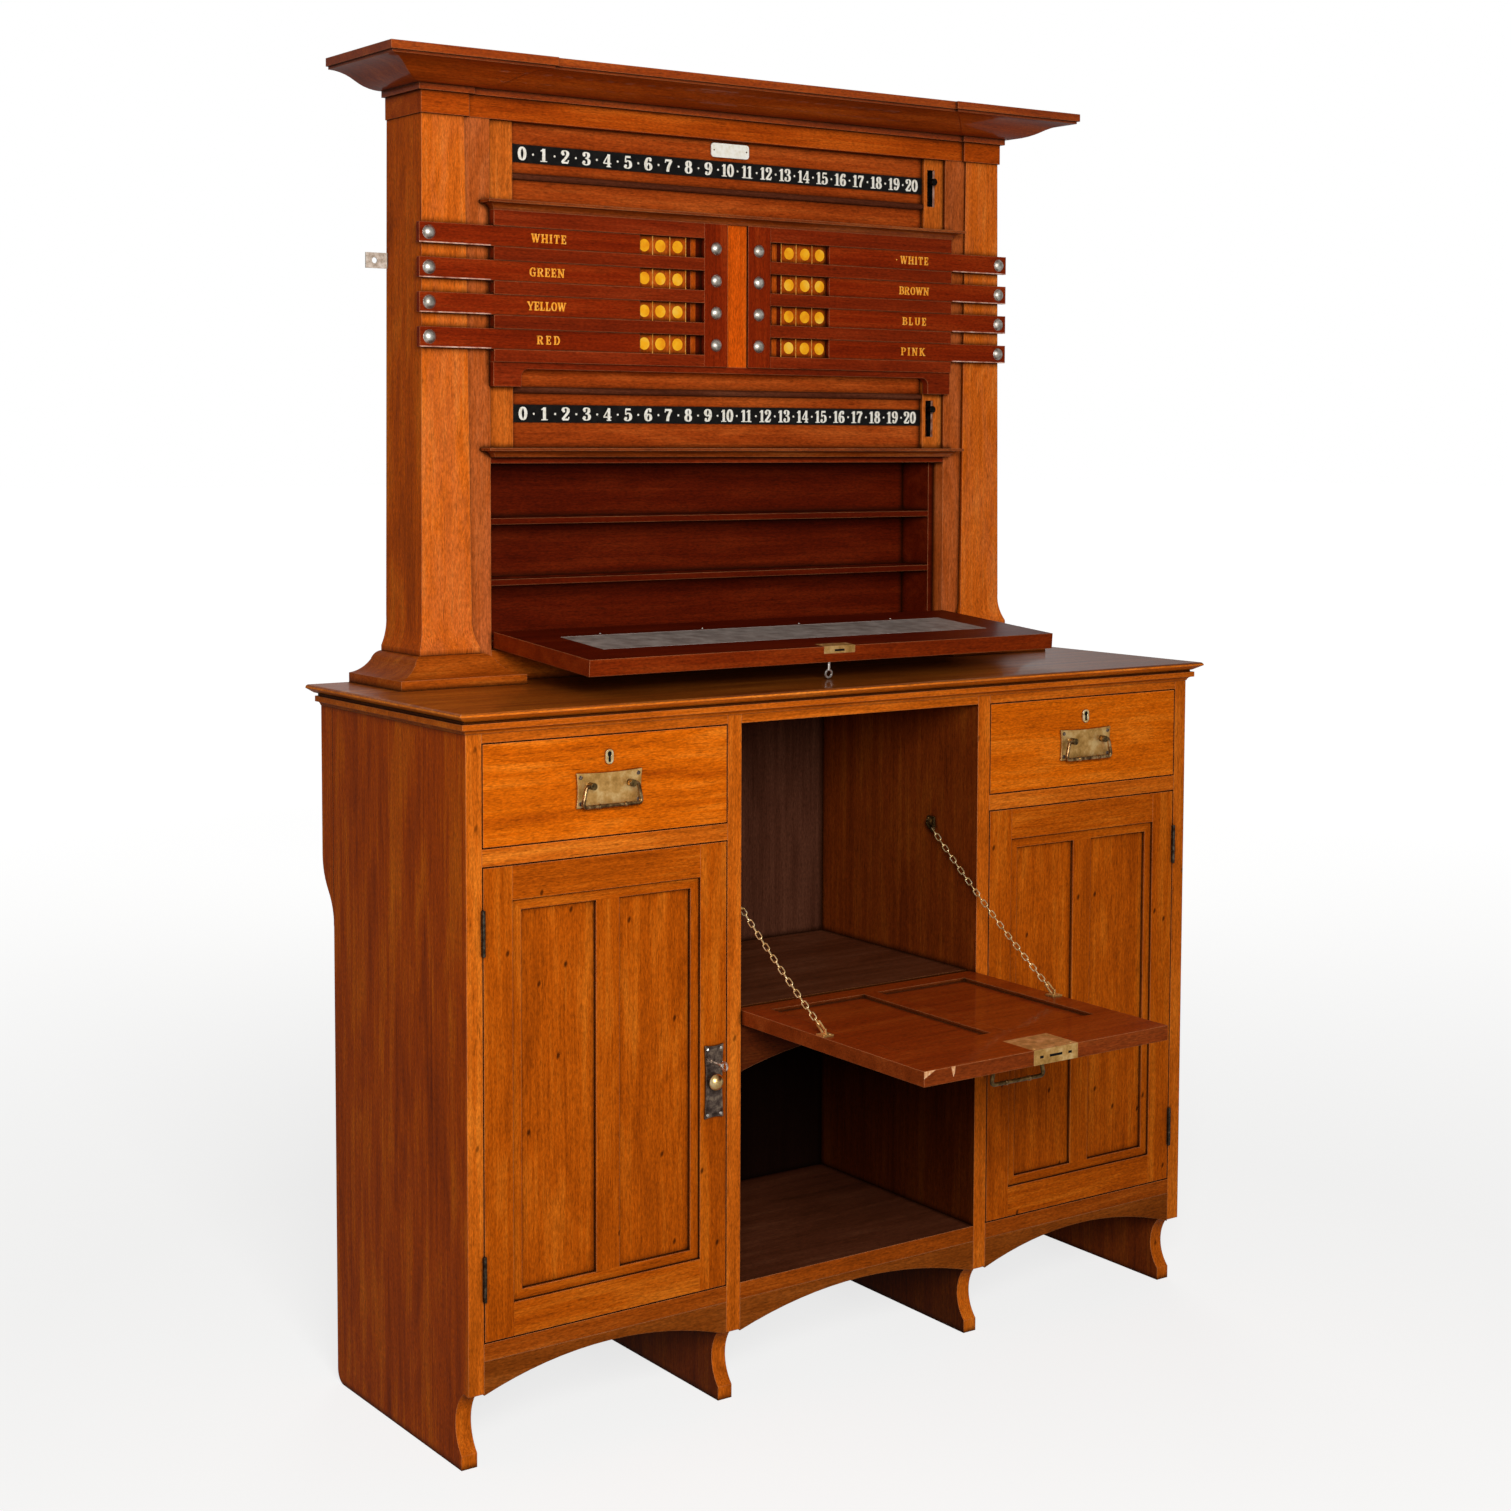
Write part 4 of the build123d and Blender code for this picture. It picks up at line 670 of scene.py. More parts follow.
letters = {
    "B": [("stem", 14), ("curve", (12, 94), (40, 94), (52, 75), (40, 55), (12, 53)),
          ("curve", (12, 53), (44, 52), (58, 28), (44, 6), (12, 6)), ("foot", -2, 30), ("cap", -2, 30)],
    "D": [("stem", 14), ("curve", (12, 94), (42, 92), (60, 50), (42, 8), (12, 6)), ("foot", -2, 30),
          ("cap", -2, 30)],
    "E": [("stem", 14), ("foot", -2, 54), ("cap", -2, 54), ("line", 14, 50, 40, 50, 11),
          ("line", 50, 6, 50, 30, 10), ("line", 50, 70, 50, 94, 10), ("line", 38, 36, 38, 64, 9)],
    "G": [("curve", (60, 72), (52, 91), (34, 96), (14, 78), (10, 50), (14, 20), (34, 4),
           (52, 9), (60, 24)), ("line", 58, 68, 58, 98, 10), ("line", 56, 2, 56, 44, 16),
          ("line", 38, 44, 70, 44, 11)],
    "H": [("stem", 14), ("stem", 60), ("line", 14, 50, 60, 50, 12), ("feet", 14), ("feet", 60)],
    "I": [("stem", 14), ("feet", 14)],
    "K": [("stem", 14), ("feet", 14), ("line", 60, 95, 18, 44, 12), ("line", 30, 58, 62, 4, 20),
          ("cap", 46, 74), ("foot", 46, 78)],
    "L": [("stem", 14), ("foot", -2, 52), ("cap", -2, 32), ("line", 48, 6, 48, 34, 10)],
    "N": [("line", 12, 0, 12, 100, 12), ("line", 62, 0, 62, 100, 12), ("line", 12, 96, 62, 4, 20),
          ("feet", 12), ("cap", 46, 78)],
    "O": [("ring", 34, 50, 25, 46)],
    "P": [("stem", 14), ("curve", (12, 94), (42, 93), (56, 72), (42, 49), (12, 47)), ("feet", 14)],
    "R": [("stem", 14), ("curve", (12, 94), (42, 93), (55, 73), (42, 52), (12, 50)),
          ("line", 36, 50, 58, 4, 19), ("feet", 14), ("foot", 44, 72)],
    "T": [("stem", 32), ("cap", 2, 62), ("line", 6, 66, 6, 96, 10), ("line", 58, 66, 58, 96, 10),
          ("foot", 16, 48)],
    "U": [("curve", (14, 96), (14, 50), (16, 20), (34, 5), (54, 20), (58, 50), (58, 96)), ("cap", -2, 30),
          ("cap", 44, 72)],
    "W": [("line", 10, 96, 28, 2, 19), ("line", 28, 4, 46, 96, 11), ("line", 46, 96, 66, 2, 19),
          ("line", 66, 4, 86, 96, 11), ("cap", -4, 24), ("cap", 34, 58), ("cap", 74, 98)],
    "Y": [("line", 8, 96, 34, 42, 19), ("line", 62, 96, 36, 42, 12), ("line", 34, 0, 34, 46, 19),
          ("cap", -6, 24), ("cap", 48, 76), ("foot", 18, 50)],
}
pen = {"height": 100, "thick": 20, "thin": 7.5, "serif": 12, "serifHalf": 16, "steps": 6, "roundSides": 14,
       "swell": 1.5, "lift": 0.02, "lifts": 9, "closed": 1e-4}


def bar(left, right, low, high):
    return [(left, low), (right, low), (right, high), (left, high)]


def strokeOutlines(strokes):
    # closed outlines, one for each pen stroke
    outlines = []
    top = pen["height"]
    capFoot = top - pen["serif"]
    for kind, *values in strokes:
        if kind == "stem":
            outlines.append(bar(values[0] - pen["thick"] / 2, values[0] + pen["thick"] / 2, 0, top))
        elif kind == "feet":
            left, right = values[0] - pen["serifHalf"], values[0] + pen["serifHalf"]
            outlines += [bar(left, right, 0, pen["serif"]), bar(left, right, capFoot, top)]
        elif kind == "cap":
            outlines.append(bar(*values, capFoot, top))
        elif kind == "foot":
            outlines.append(bar(*values, 0, pen["serif"]))
        elif kind == "line":
            x0, y0, x1, y1, width = values
            length = math.hypot(x1 - x0, y1 - y0)
            sx, sy = -(y1 - y0) / length * width / 2, (x1 - x0) / length * width / 2
            outlines.append([(x0 - sx, y0 - sy), (x1 - sx, y1 - sy), (x1 + sx, y1 + sy), (x0 + sx, y0 + sy)])
        elif kind == "ball":
            x, y, radius = values
            turns = [2 * math.pi * i / pen["roundSides"] for i in range(pen["roundSides"])]
            outlines.append([(x + radius * math.cos(a), y + radius * math.sin(a)) for a in turns])
        elif kind == "ring":
            x, y, rx, ry = values
            turns = [2 * math.pi * i / (4 * pen["steps"]) for i in range(4 * pen["steps"] + 1)]
            outlines += ribbon([(x + rx * math.cos(a), y + ry * math.sin(a)) for a in turns])
        else:
            outlines += ribbon(smooth(values))
    return outlines


def smooth(points):
    # Catmull-Rom run through the points
    ends = [points[0], *points, points[-1]]
    run = []
    for i in range(1, len(ends) - 2):
        a, b, c, d = ends[i - 1:i + 3]
        for step in range(pen["steps"]):
            t = step / pen["steps"]
            run.append(tuple(
                0.5 * (2 * b[k] + (c[k] - a[k]) * t + (2 * a[k] - 5 * b[k] + 4 * c[k] - d[k]) * t * t
                       + (3 * b[k] - a[k] - 3 * c[k] + d[k]) * t ** 3) for k in (0, 1)))
    run.append(points[-1])
    return run


def ribbon(run):
    # a broad pen: thick on upright strokes, thin on level ones
    closed = math.hypot(run[0][0] - run[-1][0], run[0][1] - run[-1][1]) < pen["closed"]
    left, right = [], []
    for i, (x, y) in enumerate(run):
        before = run[i - 1] if i else (run[-2] if closed else run[0])
        after = run[i + 1] if i + 1 < len(run) else (run[1] if closed else run[-1])
        dx, dy = after[0] - before[0], after[1] - before[1]
        length = math.hypot(dx, dy)
        half = (pen["thin"] + (pen["thick"] - pen["thin"]) * (abs(dy) / length) ** pen["swell"]) / 2
        left.append((x - dy / length * half, y + dx / length * half))
        right.append((x + dy / length * half, y - dx / length * half))
    return [[right[i], right[i + 1], left[i + 1], left[i]] for i in range(len(run) - 1)]


def newPiece(name, vertices, faces, material):
    mesh = bpy.data.meshes.new(name)
    mesh.from_pydata(vertices, [], faces)
    mesh.materials.append(material)
    piece = bpy.data.objects.new(name, mesh)
    bpy.context.scene.collection.objects.link(piece)
    return piece


def addPrism(points, faces, outer, inner):
    # a closed plate between two loops, the outer one anticlockwise seen from outside
    first, count = len(points), len(outer)
    points += [*outer, *inner]
    faces.append([first + i for i in range(count)])
    faces.append([first + count + i for i in reversed(range(count))])
    for i in range(count):
        after = (i + 1) % count
        faces.append([first + after, first + i, first + count + i, first + count + after])


def letterSolids(vertices, faces, strokes, left, base, face, height, depth, stretch):
    # each outline becomes a thin plate on the face, a hair thicker than the one before
    scale = height / pen["height"]
    for order, outline in enumerate(strokeOutlines(strokes)):
        proud = depth * (1 + pen["lift"] * (order % pen["lifts"]))
        area = sum(a[0] * b[1] - b[0] * a[1] for a, b in zip(outline, outline[1:] + outline[:1]))
        loop = outline if area > 0 else outline[::-1]
        outer, inner = ([(left + x * scale * stretch, y, base + z * scale) for x, z in loop]
                        for y in (face - proud, face))
        addPrism(vertices, faces, outer, inner)


# White numerals 0 to 20 with a dot between, on both black strips
numberRow = {"first": -0.3419, "pitch": 0.0341, "height": 0.0182, "depth": 0.00025, "lastNumber": 20,
             "advance": 0.6, "narrowOne": 0.46, "glyphMiddle": 0.28, "singleStretch": 1.3,
             "pairStretch": 1.12, "stripMiddles": (1.6647, 1.3122)}
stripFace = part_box("number_strips")[0].y
height, depth = numberRow["height"], numberRow["depth"]
toMiddle = numberRow["glyphMiddle"] * height
vertices, faces = [], []
for middle in numberRow["stripMiddles"]:
    base = middle - height / 2
    for number in range(numberRow["lastNumber"] + 1):
        text = str(number)
        stretch = numberRow["pairStretch"] if len(text) > 1 else numberRow["singleStretch"]
        widths = [numberRow["narrowOne" if c == "1" else "advance"] * height * stretch for c in text]
        centre = numberRow["first"] + number * numberRow["pitch"]
        left = centre - sum(widths) / 2
        for c, width in zip(text, widths):
            letterSolids(vertices, faces, figures[c], left + width / 2 - toMiddle * stretch, base, stripFace,
                         height, depth, stretch)
            left += width
        if number < numberRow["lastNumber"]:
            letterSolids(vertices, faces, figures["."], centre + numberRow["pitch"] / 2 - toMiddle, base,
                         stripFace, height, depth, 1.0)
numerals = newPiece("scaleNumerals", vertices, faces, whitePaint)
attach(numerals, "cabinet")
print("numerals", len(faces), "faces")

# Gold colour words on the score bars: middle and width of each
words = {
    "height": 0.012,
    "depth": 0.00025,
    "stretch": 1.15,
    "left": (("WHITE", -0.3139, 0.0547), ("GREEN", -0.3170, 0.0547), ("YELLOW", -0.3175, 0.0606),
             ("RED", -0.3150, 0.0358)),
    "right": (("WHITE", 0.3277, 0.0542), ("BROWN", 0.3276, 0.0573), ("BLUE", 0.3286, 0.0459),
              ("PINK", 0.3267, 0.0464)),
    "dot": ("right", 1, 0.2898),
}
letterWidth = {"W": 0.94, "I": 0.3, "E": 0.56, "L": 0.54, "T": 0.66, "H": 0.76, "K": 0.76, "N": 0.74,
               "Y": 0.7, "R": 0.7, "G": 0.7, "D": 0.66, "B": 0.6, "U": 0.72, "O": 0.66, "P": 0.6}
height, depth, stretch = words["height"], words["depth"], words["stretch"]
dotSide, dotRow, dotLeft = words["dot"]
for side in ("left", "right"):
    for row, (name, middle, width) in enumerate(words[side], start=1):
        low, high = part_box(f"{side}_bar_{row}")
        face = low.y + joinery["stud"]
        base = (low.z + high.z) / 2 - height / 2
        drawn = [letterWidth[c] * height * stretch for c in name]
        spacing = (width - sum(drawn)) / (len(name) - 1)
        left = middle - width / 2
        vertices, faces = [], []
        for c, letterRun in zip(name, drawn):
            letterSolids(vertices, faces, letters[c], left, base, face, height, depth, stretch)
            left += letterRun + spacing
        if (side, row) == (dotSide, dotRow):
            letterSolids(vertices, faces, figures["."], dotLeft, base, face, height, depth, 1.0)
        word = newPiece(f"{side}Word{row}", vertices, faces, goldPaint)
        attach(word, f"{side}_bar_{row}")
print("colour words")


# Geometry Nodes: a small shape set on every point of a mesh, turned to the point's facing and sized by it
def pointTree(name, inputs, buildShape, axis="Z"):
    tree = bpy.data.node_groups.new(name, "GeometryNodeTree")
    tree.interface.new_socket("Geometry", in_out="INPUT", socket_type="NodeSocketGeometry")
    for label in inputs:
        tree.interface.new_socket(label, in_out="INPUT", socket_type="NodeSocketFloat")
    tree.interface.new_socket("Material", in_out="INPUT", socket_type="NodeSocketMaterial")
    tree.interface.new_socket("Geometry", in_out="OUTPUT", socket_type="NodeSocketGeometry")
    given = addNode(tree, "NodeGroupInput")
    shape = buildShape(tree, given)
    facing = addNode(tree, "GeometryNodeInputNamedAttribute", {
        "data_type": "FLOAT_VECTOR", "Name": "facing"})
    spin = addNode(tree, "GeometryNodeInputNamedAttribute", {"data_type": "FLOAT", "Name": "spin"})
    size = addNode(tree, "GeometryNodeInputNamedAttribute", {"data_type": "FLOAT_VECTOR", "Name": "size"})
    aligned = addNode(tree, "FunctionNodeAlignRotationToVector", {
        "axis": axis, "Vector": facing.outputs[0]})
    turned = addNode(tree, "FunctionNodeAxisAngleToRotation", {
        "Axis": [float(axis == a) for a in "XYZ"], "Angle": spin.outputs[0]})
    rotated = addNode(tree, "FunctionNodeRotateRotation", {
        "rotation_space": "LOCAL", "Rotation": aligned.outputs[0], "Rotate By": turned.outputs[0]})
    placed = addNode(tree, "GeometryNodeInstanceOnPoints", {
        "Points": given.outputs["Geometry"], "Instance": shape, "Rotation": rotated.outputs[0],
        "Scale": size.outputs[0]})
    real = addNode(tree, "GeometryNodeRealizeInstances", {"Geometry": placed.outputs[0]})
    coloured = addNode(tree, "GeometryNodeSetMaterial", {
        "Geometry": real.outputs[0], "Material": given.outputs["Material"]})
    addNode(tree, "NodeGroupOutput", {"Geometry": coloured.outputs[0]})
    return tree


def growPiece(name, spots, tree, values):
    # spots: place, facing, spin and size; the tree's result is kept as a plain mesh
    source = bpy.data.meshes.new(name + "Points")
    source.from_pydata([spot[0] for spot in spots], [], [])
    for label, index in (("facing", 1), ("size", 3)):
        source.attributes.new(label, "FLOAT_VECTOR", "POINT").data.foreach_set(
            "vector", [v for spot in spots for v in spot[index]])
    source.attributes.new("spin", "FLOAT", "POINT").data.foreach_set("value", [spot[2] for spot in spots])
    holder = bpy.data.objects.new(name + "Points", source)
    bpy.context.scene.collection.objects.link(holder)
    modifier = holder.modifiers.new("grow", "NODES")
    modifier.node_group = tree
    for item in tree.interface.items_tree:
        if item.in_out == "INPUT" and item.name in values:
            modifier[item.identifier] = values[item.name]
    bpy.context.view_layer.update()
    mesh = bpy.data.meshes.new_from_object(holder.evaluated_get(bpy.context.evaluated_depsgraph_get()))
    mesh.name = name
    bpy.data.objects.remove(holder)
    piece = bpy.data.objects.new(name, mesh)
    bpy.context.scene.collection.objects.link(piece)
    return piece


forward = (0.0, -1.0, 0.0)
backward = (0.0, 1.0, 0.0)
upward = (0.0, 0.0, 1.0)
downward = (0.0, 0.0, -1.0)
plainSize = (1.0, 1.0, 1.0)


# Flat inlays: a bar one metre wide and long, which each point's size brings down
def inlayShape(tree, given):
    size = addNode(tree, "ShaderNodeCombineXYZ", {"X": 1.0, "Y": 1.0, "Z": given.outputs["Thickness"]})
    return addNode(tree, "GeometryNodeMeshCube", {"Size": size.outputs[0]}).outputs["Mesh"]


discSides = 28


def discShape(tree, given):
    disc = addNode(tree, "GeometryNodeMeshCylinder", {
        "Vertices": discSides, "Radius": given.outputs["Radius"], "Depth": given.outputs["Thickness"]})
    return disc.outputs["Mesh"]


inlayTree = pointTree("inlaidBars", ("Thickness",), inlayShape)
discTree = pointTree("inlaidDiscs", ("Radius", "Thickness"), discShape)


def inlay(name, body, spots, proud, material):
    # spots: place, facing, width and length
    sized = [(place, facing, 0.0, (width, length, 1.0)) for place, facing, width, length in spots]
    piece = growPiece(name, sized, inlayTree, {"Thickness": 2 * proud, "Material": material})
    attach(piece, body)


# Three boxwood lives in each window, on a brighter ground between boxwood lines
lives = {"discs": (0.154, 0.127, 0.098), "lines": (0.14, 0.111, 0.084), "window": 0.166, "radius": 0.0087,
         "proud": 0.0003, "lineProud": 0.00024, "lineWidth": 0.0014, "rowHigh": 1.5492, "rowPitch": 0.0458,
         "rows": 4, "height": 0.0274, "groundProud": 0.0001, "streak": (0.0715, 0.009)}
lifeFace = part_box("life_strips")[0].y
rowHeights = [lives["rowHigh"] - row * lives["rowPitch"] for row in range(lives["rows"])]
windows = [(sign, z) for sign in (-1, 1) for z in rowHeights]
discSpots = [((sign * x, lifeFace, z), forward, 0.0, plainSize)
             for sign, z in windows for x in lives["discs"]]
lifeDiscs = growPiece("lifeDiscs", discSpots, discTree,
                      {"Radius": lives["radius"], "Thickness": 2 * lives["proud"], "Material": boxwood})
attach(lifeDiscs, "cabinet")


def lifeInlay(name, places, width, proud, material):
    inlay(name, "cabinet",
          [((sign * x, lifeFace, z), forward, width, lives["height"]) for sign, z in windows for x in places],
          proud, material)


lifeInlay("lifeLines", lives["lines"], lives["lineWidth"], lives["lineProud"], boxwoodLine)
innerLine = lives["lines"][-1]
lifeInlay("lifeGrounds", [(lives["window"] + innerLine) / 2], lives["window"] - innerLine,
          lives["groundProud"], groundWood)
streakMiddle, streakWidth = lives["streak"]
lifeInlay("lifeStreaks", [streakMiddle], streakWidth, lives["groundProud"], groundWood)
print("life strips")


# Slotted screw heads: a low head cut by its slot; the cutter is a share of slot, radius and thickness
screws = {"radius": 0.0021, "thickness": 0.0013, "slot": 0.0007, "firstTurn": 0.7, "turn": 1.9, "sides": 16,
          "cutter": (1.0, 2.5, 0.6)}
pins = {"radius": 0.0011, "thickness": 0.0012}


def screwShape(tree, given):
    radius, thickness = given.outputs["Radius"], given.outputs["Thickness"]
    head = addNode(tree, "GeometryNodeMeshCylinder", {
        "Vertices": screws["sides"], "Radius": radius, "Depth": thickness})
    slotSize = addNode(tree, "ShaderNodeCombineXYZ", {
        "X": given.outputs["Slot"], "Y": radius, "Z": thickness})
    longer = addNode(tree, "ShaderNodeVectorMath", {
        "operation": "MULTIPLY", 1: screws["cutter"], 0: slotSize.outputs[0]})
    cutter = addNode(tree, "GeometryNodeMeshCube", {"Size": longer.outputs[0]})
    lift = addNode(tree, "ShaderNodeCombineXYZ", {"Z": thickness})
    half = addNode(tree, "ShaderNodeVectorMath", {"operation": "SCALE", "Scale": 0.5, 0: lift.outputs[0]})
    raised = addNode(tree, "GeometryNodeTransform", {
        "Geometry": cutter.outputs["Mesh"], "Translation": half.outputs[0]})
    cut = addNode(tree, "GeometryNodeMeshBoolean", {
        "operation": "DIFFERENCE", "solver": "EXACT", "Mesh 1": head.outputs["Mesh"],
        "Mesh 2": raised.outputs[0]})
    return cut.outputs["Mesh"]


screwTree = pointTree("slottedScrews", ("Radius", "Thickness", "Slot"), screwShape)


def screwRow(name, body, spots, material, scale=1.0):
    turned = [(place, facing, screws["firstTurn"] + screws["turn"] * i, plainSize)
              for i, (place, facing) in enumerate(spots)]
    piece = growPiece(name, turned, screwTree,
                      {"Radius": screws["radius"] * scale, "Thickness": screws["thickness"],
                       "Slot": screws["slot"] * scale, "Material": material})
    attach(piece, body)


def discRow(name, body, spots, radius, thickness, material):
    headed = [(place, facing, 0.0, plainSize) for place, facing in spots]
    piece = growPiece(name, headed, discTree,
                      {"Radius": radius, "Thickness": thickness, "Material": material})
    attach(piece, body)


def pinRow(name, body, spots, material, scale=1.0):
    discRow(name, body, spots, pins["radius"] * scale, pins["thickness"], material)


def collarRow(name, body, spots):
    discRow(name, body, spots, bails["collarRadius"], bails["collarWidth"], bailBrass)


def corners(x, z, plate):
    return [((x + dx * plate["spreadX"], plateFace, z + dz * plate["spreadZ"]), forward)
            for dx in (-1, 1) for dz in (-1, 1)]


# Drawer handles, knob plates, and their screws; each bail has two turned collars
bails = {"collarRadius": 0.0034, "collarWidth": 0.003, "spread": 0.019, "standOff": 0.007, "height": 0.8185}
handles = {"plate": 0.002, "spreadX": 0.0428, "spreadZ": 0.0166, "middle": 0.407, "height": 0.839,
           "keyhole": 0.879, "pinSpread": 0.0083, "screwScale": 1.3, "pinScale": 0.7}
knobPlates = {"fromEdge": 0.02, "height": 0.44, "spreadX": 0.0105, "spreadZ": 0.0435, "keyholeRise": 0.025,
              "screwScale": 0.9}
rightward = (1.0, 0.0, 0.0)
doorEdge = {"left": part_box("left_door")[1].x, "right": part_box("right_door")[0].x}
plateFace = front - handles["plate"]
for side, sign in (("left", -1), ("right", 1)):
    x = sign * handles["middle"]
    screwRow(f"{side}HandleScrews", f"{side}_drawer", corners(x, handles["height"], handles), knobPlateBrass,
             handles["screwScale"])
    collarRow(f"{side}BailCollars", f"{side}_drawer_bail",
              [((x + dx * bails["spread"], plateFace - bails["standOff"], bails["height"]), rightward)
               for dx in (-1, 1)])
    pinRow(f"{side}KeyholePins", f"{side}_drawer",
           [((x, plateFace, handles["keyhole"] + dz * handles["pinSpread"]), forward) for dz in (-1, 1)],
           plateBrass, handles["pinScale"])
    x = doorEdge[side] + sign * knobPlates["fromEdge"]
    screwRow(f"{side}KnobScrews", f"{side}_door", corners(x, knobPlates["height"], knobPlates), keySteel,
             knobPlates["screwScale"])

# Lower flap, lying open: its handle and keyhole face down, its lock and chain eyes face up
flapLow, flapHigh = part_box("lower_flap")
lowerFlap = {"handle": -0.32925, "keyhole": -0.36925, "lockX": (-0.0215, 0.0395), "lockY": (-0.3885, -0.3435),
             "slots": ((0.009, 0.021), (-0.0145, 0.006), (0.0325, 0.006)), "slotDrop": 0.0095,
             "slotHeight": 0.0032, "slotProud": 0.00003, "eyeX": 0.194, "eyeY": -0.1935, "eyePlate": 0.0022,
             "eyeSpread": 0.0048, "eyeScale": 0.7, "sunk": 0.0005}
under = flapLow.z - handles["plate"]
screwRow("flapHandleScrews", "lower_flap",
         [((dx * handles["spreadX"], lowerFlap["handle"] + dy * handles["spreadZ"], under), downward)
          for dx in (-1, 1) for dy in (-1, 1)], plateBrass)
bailLow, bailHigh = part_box("lower_flap_bail")
bailHalf = (bailHigh.y - bailLow.y) / 2
collarRow("flapBailCollars", "lower_flap_bail",
          [((dx * bails["spread"], bailLow.y + bailHalf, bailLow.z + bailHalf), rightward) for dx in (-1, 1)])
pinRow("flapKeyholePins", "lower_flap",
       [((0.0, lowerFlap["keyhole"] + dy * handles["pinSpread"], under), downward) for dy in (-1, 1)],
       plateBrass)
screwRow("flapLockScrews", "lower_flap",
         [((x, y, flapHigh.z - lowerFlap["sunk"]), upward)
          for x in lowerFlap["lockX"] for y in lowerFlap["lockY"]], plateBrass)
screwRow("flapEyeScrews", "lower_flap",
         [((sign * lowerFlap["eyeX"] + dx * lowerFlap["eyeSpread"], lowerFlap["eyeY"],
            flapHigh.z + lowerFlap["eyePlate"]), upward) for sign in (-1, 1) for dx in (-1, 1)],
         plateBrass, lowerFlap["eyeScale"])
# painted shade: dark inlays for the lock slots in the flap's front edge
inlay("flapLockSlots", "lower_flap",
      [((x, flapLow.y, flapHigh.z - lowerFlap["slotDrop"]), forward, width, lowerFlap["slotHeight"])
       for x, width in lowerFlap["slots"]], lowerFlap["slotProud"], keyholeShade)

# Upper flap, lying open on its hinges: d runs from the hinge to the free edge, rise stands off its back
upperFlap = {"hinge": (0.29435, 0.9908), "open": 94.5, "inside": 0.0244, "edge": 0.2507, "pinReach": 0.056,
             "pinX": (-0.262, -0.092, 0.078, 0.248), "pinScale": 1.5, "lockX": (-0.0165, 0.0255),
             "lockReach": 0.2365, "sunk": 0.0005, "slateWidth": 0.664,
             "slateLines": ((0.068, 0.0014), (0.1776, 0.0009)), "slotX": (0.0045, 0.017),
             "slotRise": 0.0185, "slotHeight": 0.003, "proud": 0.0001}
openTurn = math.radians(upperFlap["open"])
flapUp = (0.0, math.cos(openTurn), math.sin(openTurn))
flapOut = (0.0, -math.sin(openTurn), math.cos(openTurn))


def onUpperFlap(x, reach, rise):
    y, z = upperFlap["hinge"]
    return (x, y + rise * flapUp[1] + reach * flapOut[1], z + rise * flapUp[2] + reach * flapOut[2])


pinRow("slatePins", "upper_flap",
       [(onUpperFlap(x, upperFlap["pinReach"], upperFlap["inside"]), flapUp) for x in upperFlap["pinX"]],
       keySteel, upperFlap["pinScale"])
screwRow("upperLockScrews", "upper_flap",
         [(onUpperFlap(x, upperFlap["lockReach"], upperFlap["inside"] - upperFlap["sunk"]), flapUp)
          for x in upperFlap["lockX"]], plateBrass)
slotX, slotWidth = upperFlap["slotX"]
# painted shade: a dark inlay for the lock slot in the flap's free edge
inlay("upperLockSlot", "upper_flap",
      [(onUpperFlap(slotX, upperFlap["edge"], upperFlap["slotRise"]), flapOut, slotWidth,
        upperFlap["slotHeight"])], upperFlap["proud"], keyholeShade)
inlay("slateEdges", "upper_flap",
      [(onUpperFlap(0.0, reach, upperFlap["inside"]), flapUp, upperFlap["slateWidth"], width)
       for reach, width in upperFlap["slateLines"]], upperFlap["proud"], slateLine)
print("screws, pins and locks")

# Keyholes show black: a dark inlay on each escutcheon, painted shade where the hole would be
keyholes = {"round": 0.0029, "slot": 0.0034, "length": 0.0108, "proud": 0.00012, "steps": 14, "rise": 0.0012}


def keyholePiece(name, body, middle, down, outward):
    outline = []
    half = keyholes["slot"] / 2
    edge = math.asin(half / keyholes["round"])
    across = Vector(outward).cross(Vector(down))
    for i in range(keyholes["steps"] + 1):
        a = -math.pi / 2 + edge + (2 * math.pi - 2 * edge) * i / keyholes["steps"]
        outline.append((keyholes["round"] * math.cos(a), keyholes["round"] * (math.sin(a) + 1)))
    foot = keyholes["round"] - keyholes["length"]
    outline += [(-half, foot), (half, foot)]
    outer, inner = ([Vector(middle) + across * x - Vector(down) * z + Vector(outward) * lift
                     for x, z in outline] for lift in (keyholes["proud"], 0.0))
    points, faces = [], []
    addPrism(points, faces, outer, inner)
    piece = newPiece(name, points, faces, keyholeShade)
    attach(piece, body)


for side, sign in (("left", -1), ("right", 1)):
    keyholePiece(f"{side}Keyhole", f"{side}_drawer",
                 (sign * handles["middle"], plateFace, handles["keyhole"] + keyholes["rise"]),
                 downward, forward)
keyholePiece("rightDoorKeyhole", "right_door",
             (doorEdge["right"] + knobPlates["fromEdge"], plateFace,
              knobPlates["height"] + knobPlates["keyholeRise"]), downward, forward)
keyholePiece("flapKeyhole", "lower_flap", (0.0, lowerFlap["keyhole"] - keyholes["rise"], under),
             backward, downward)
print("keyholes")

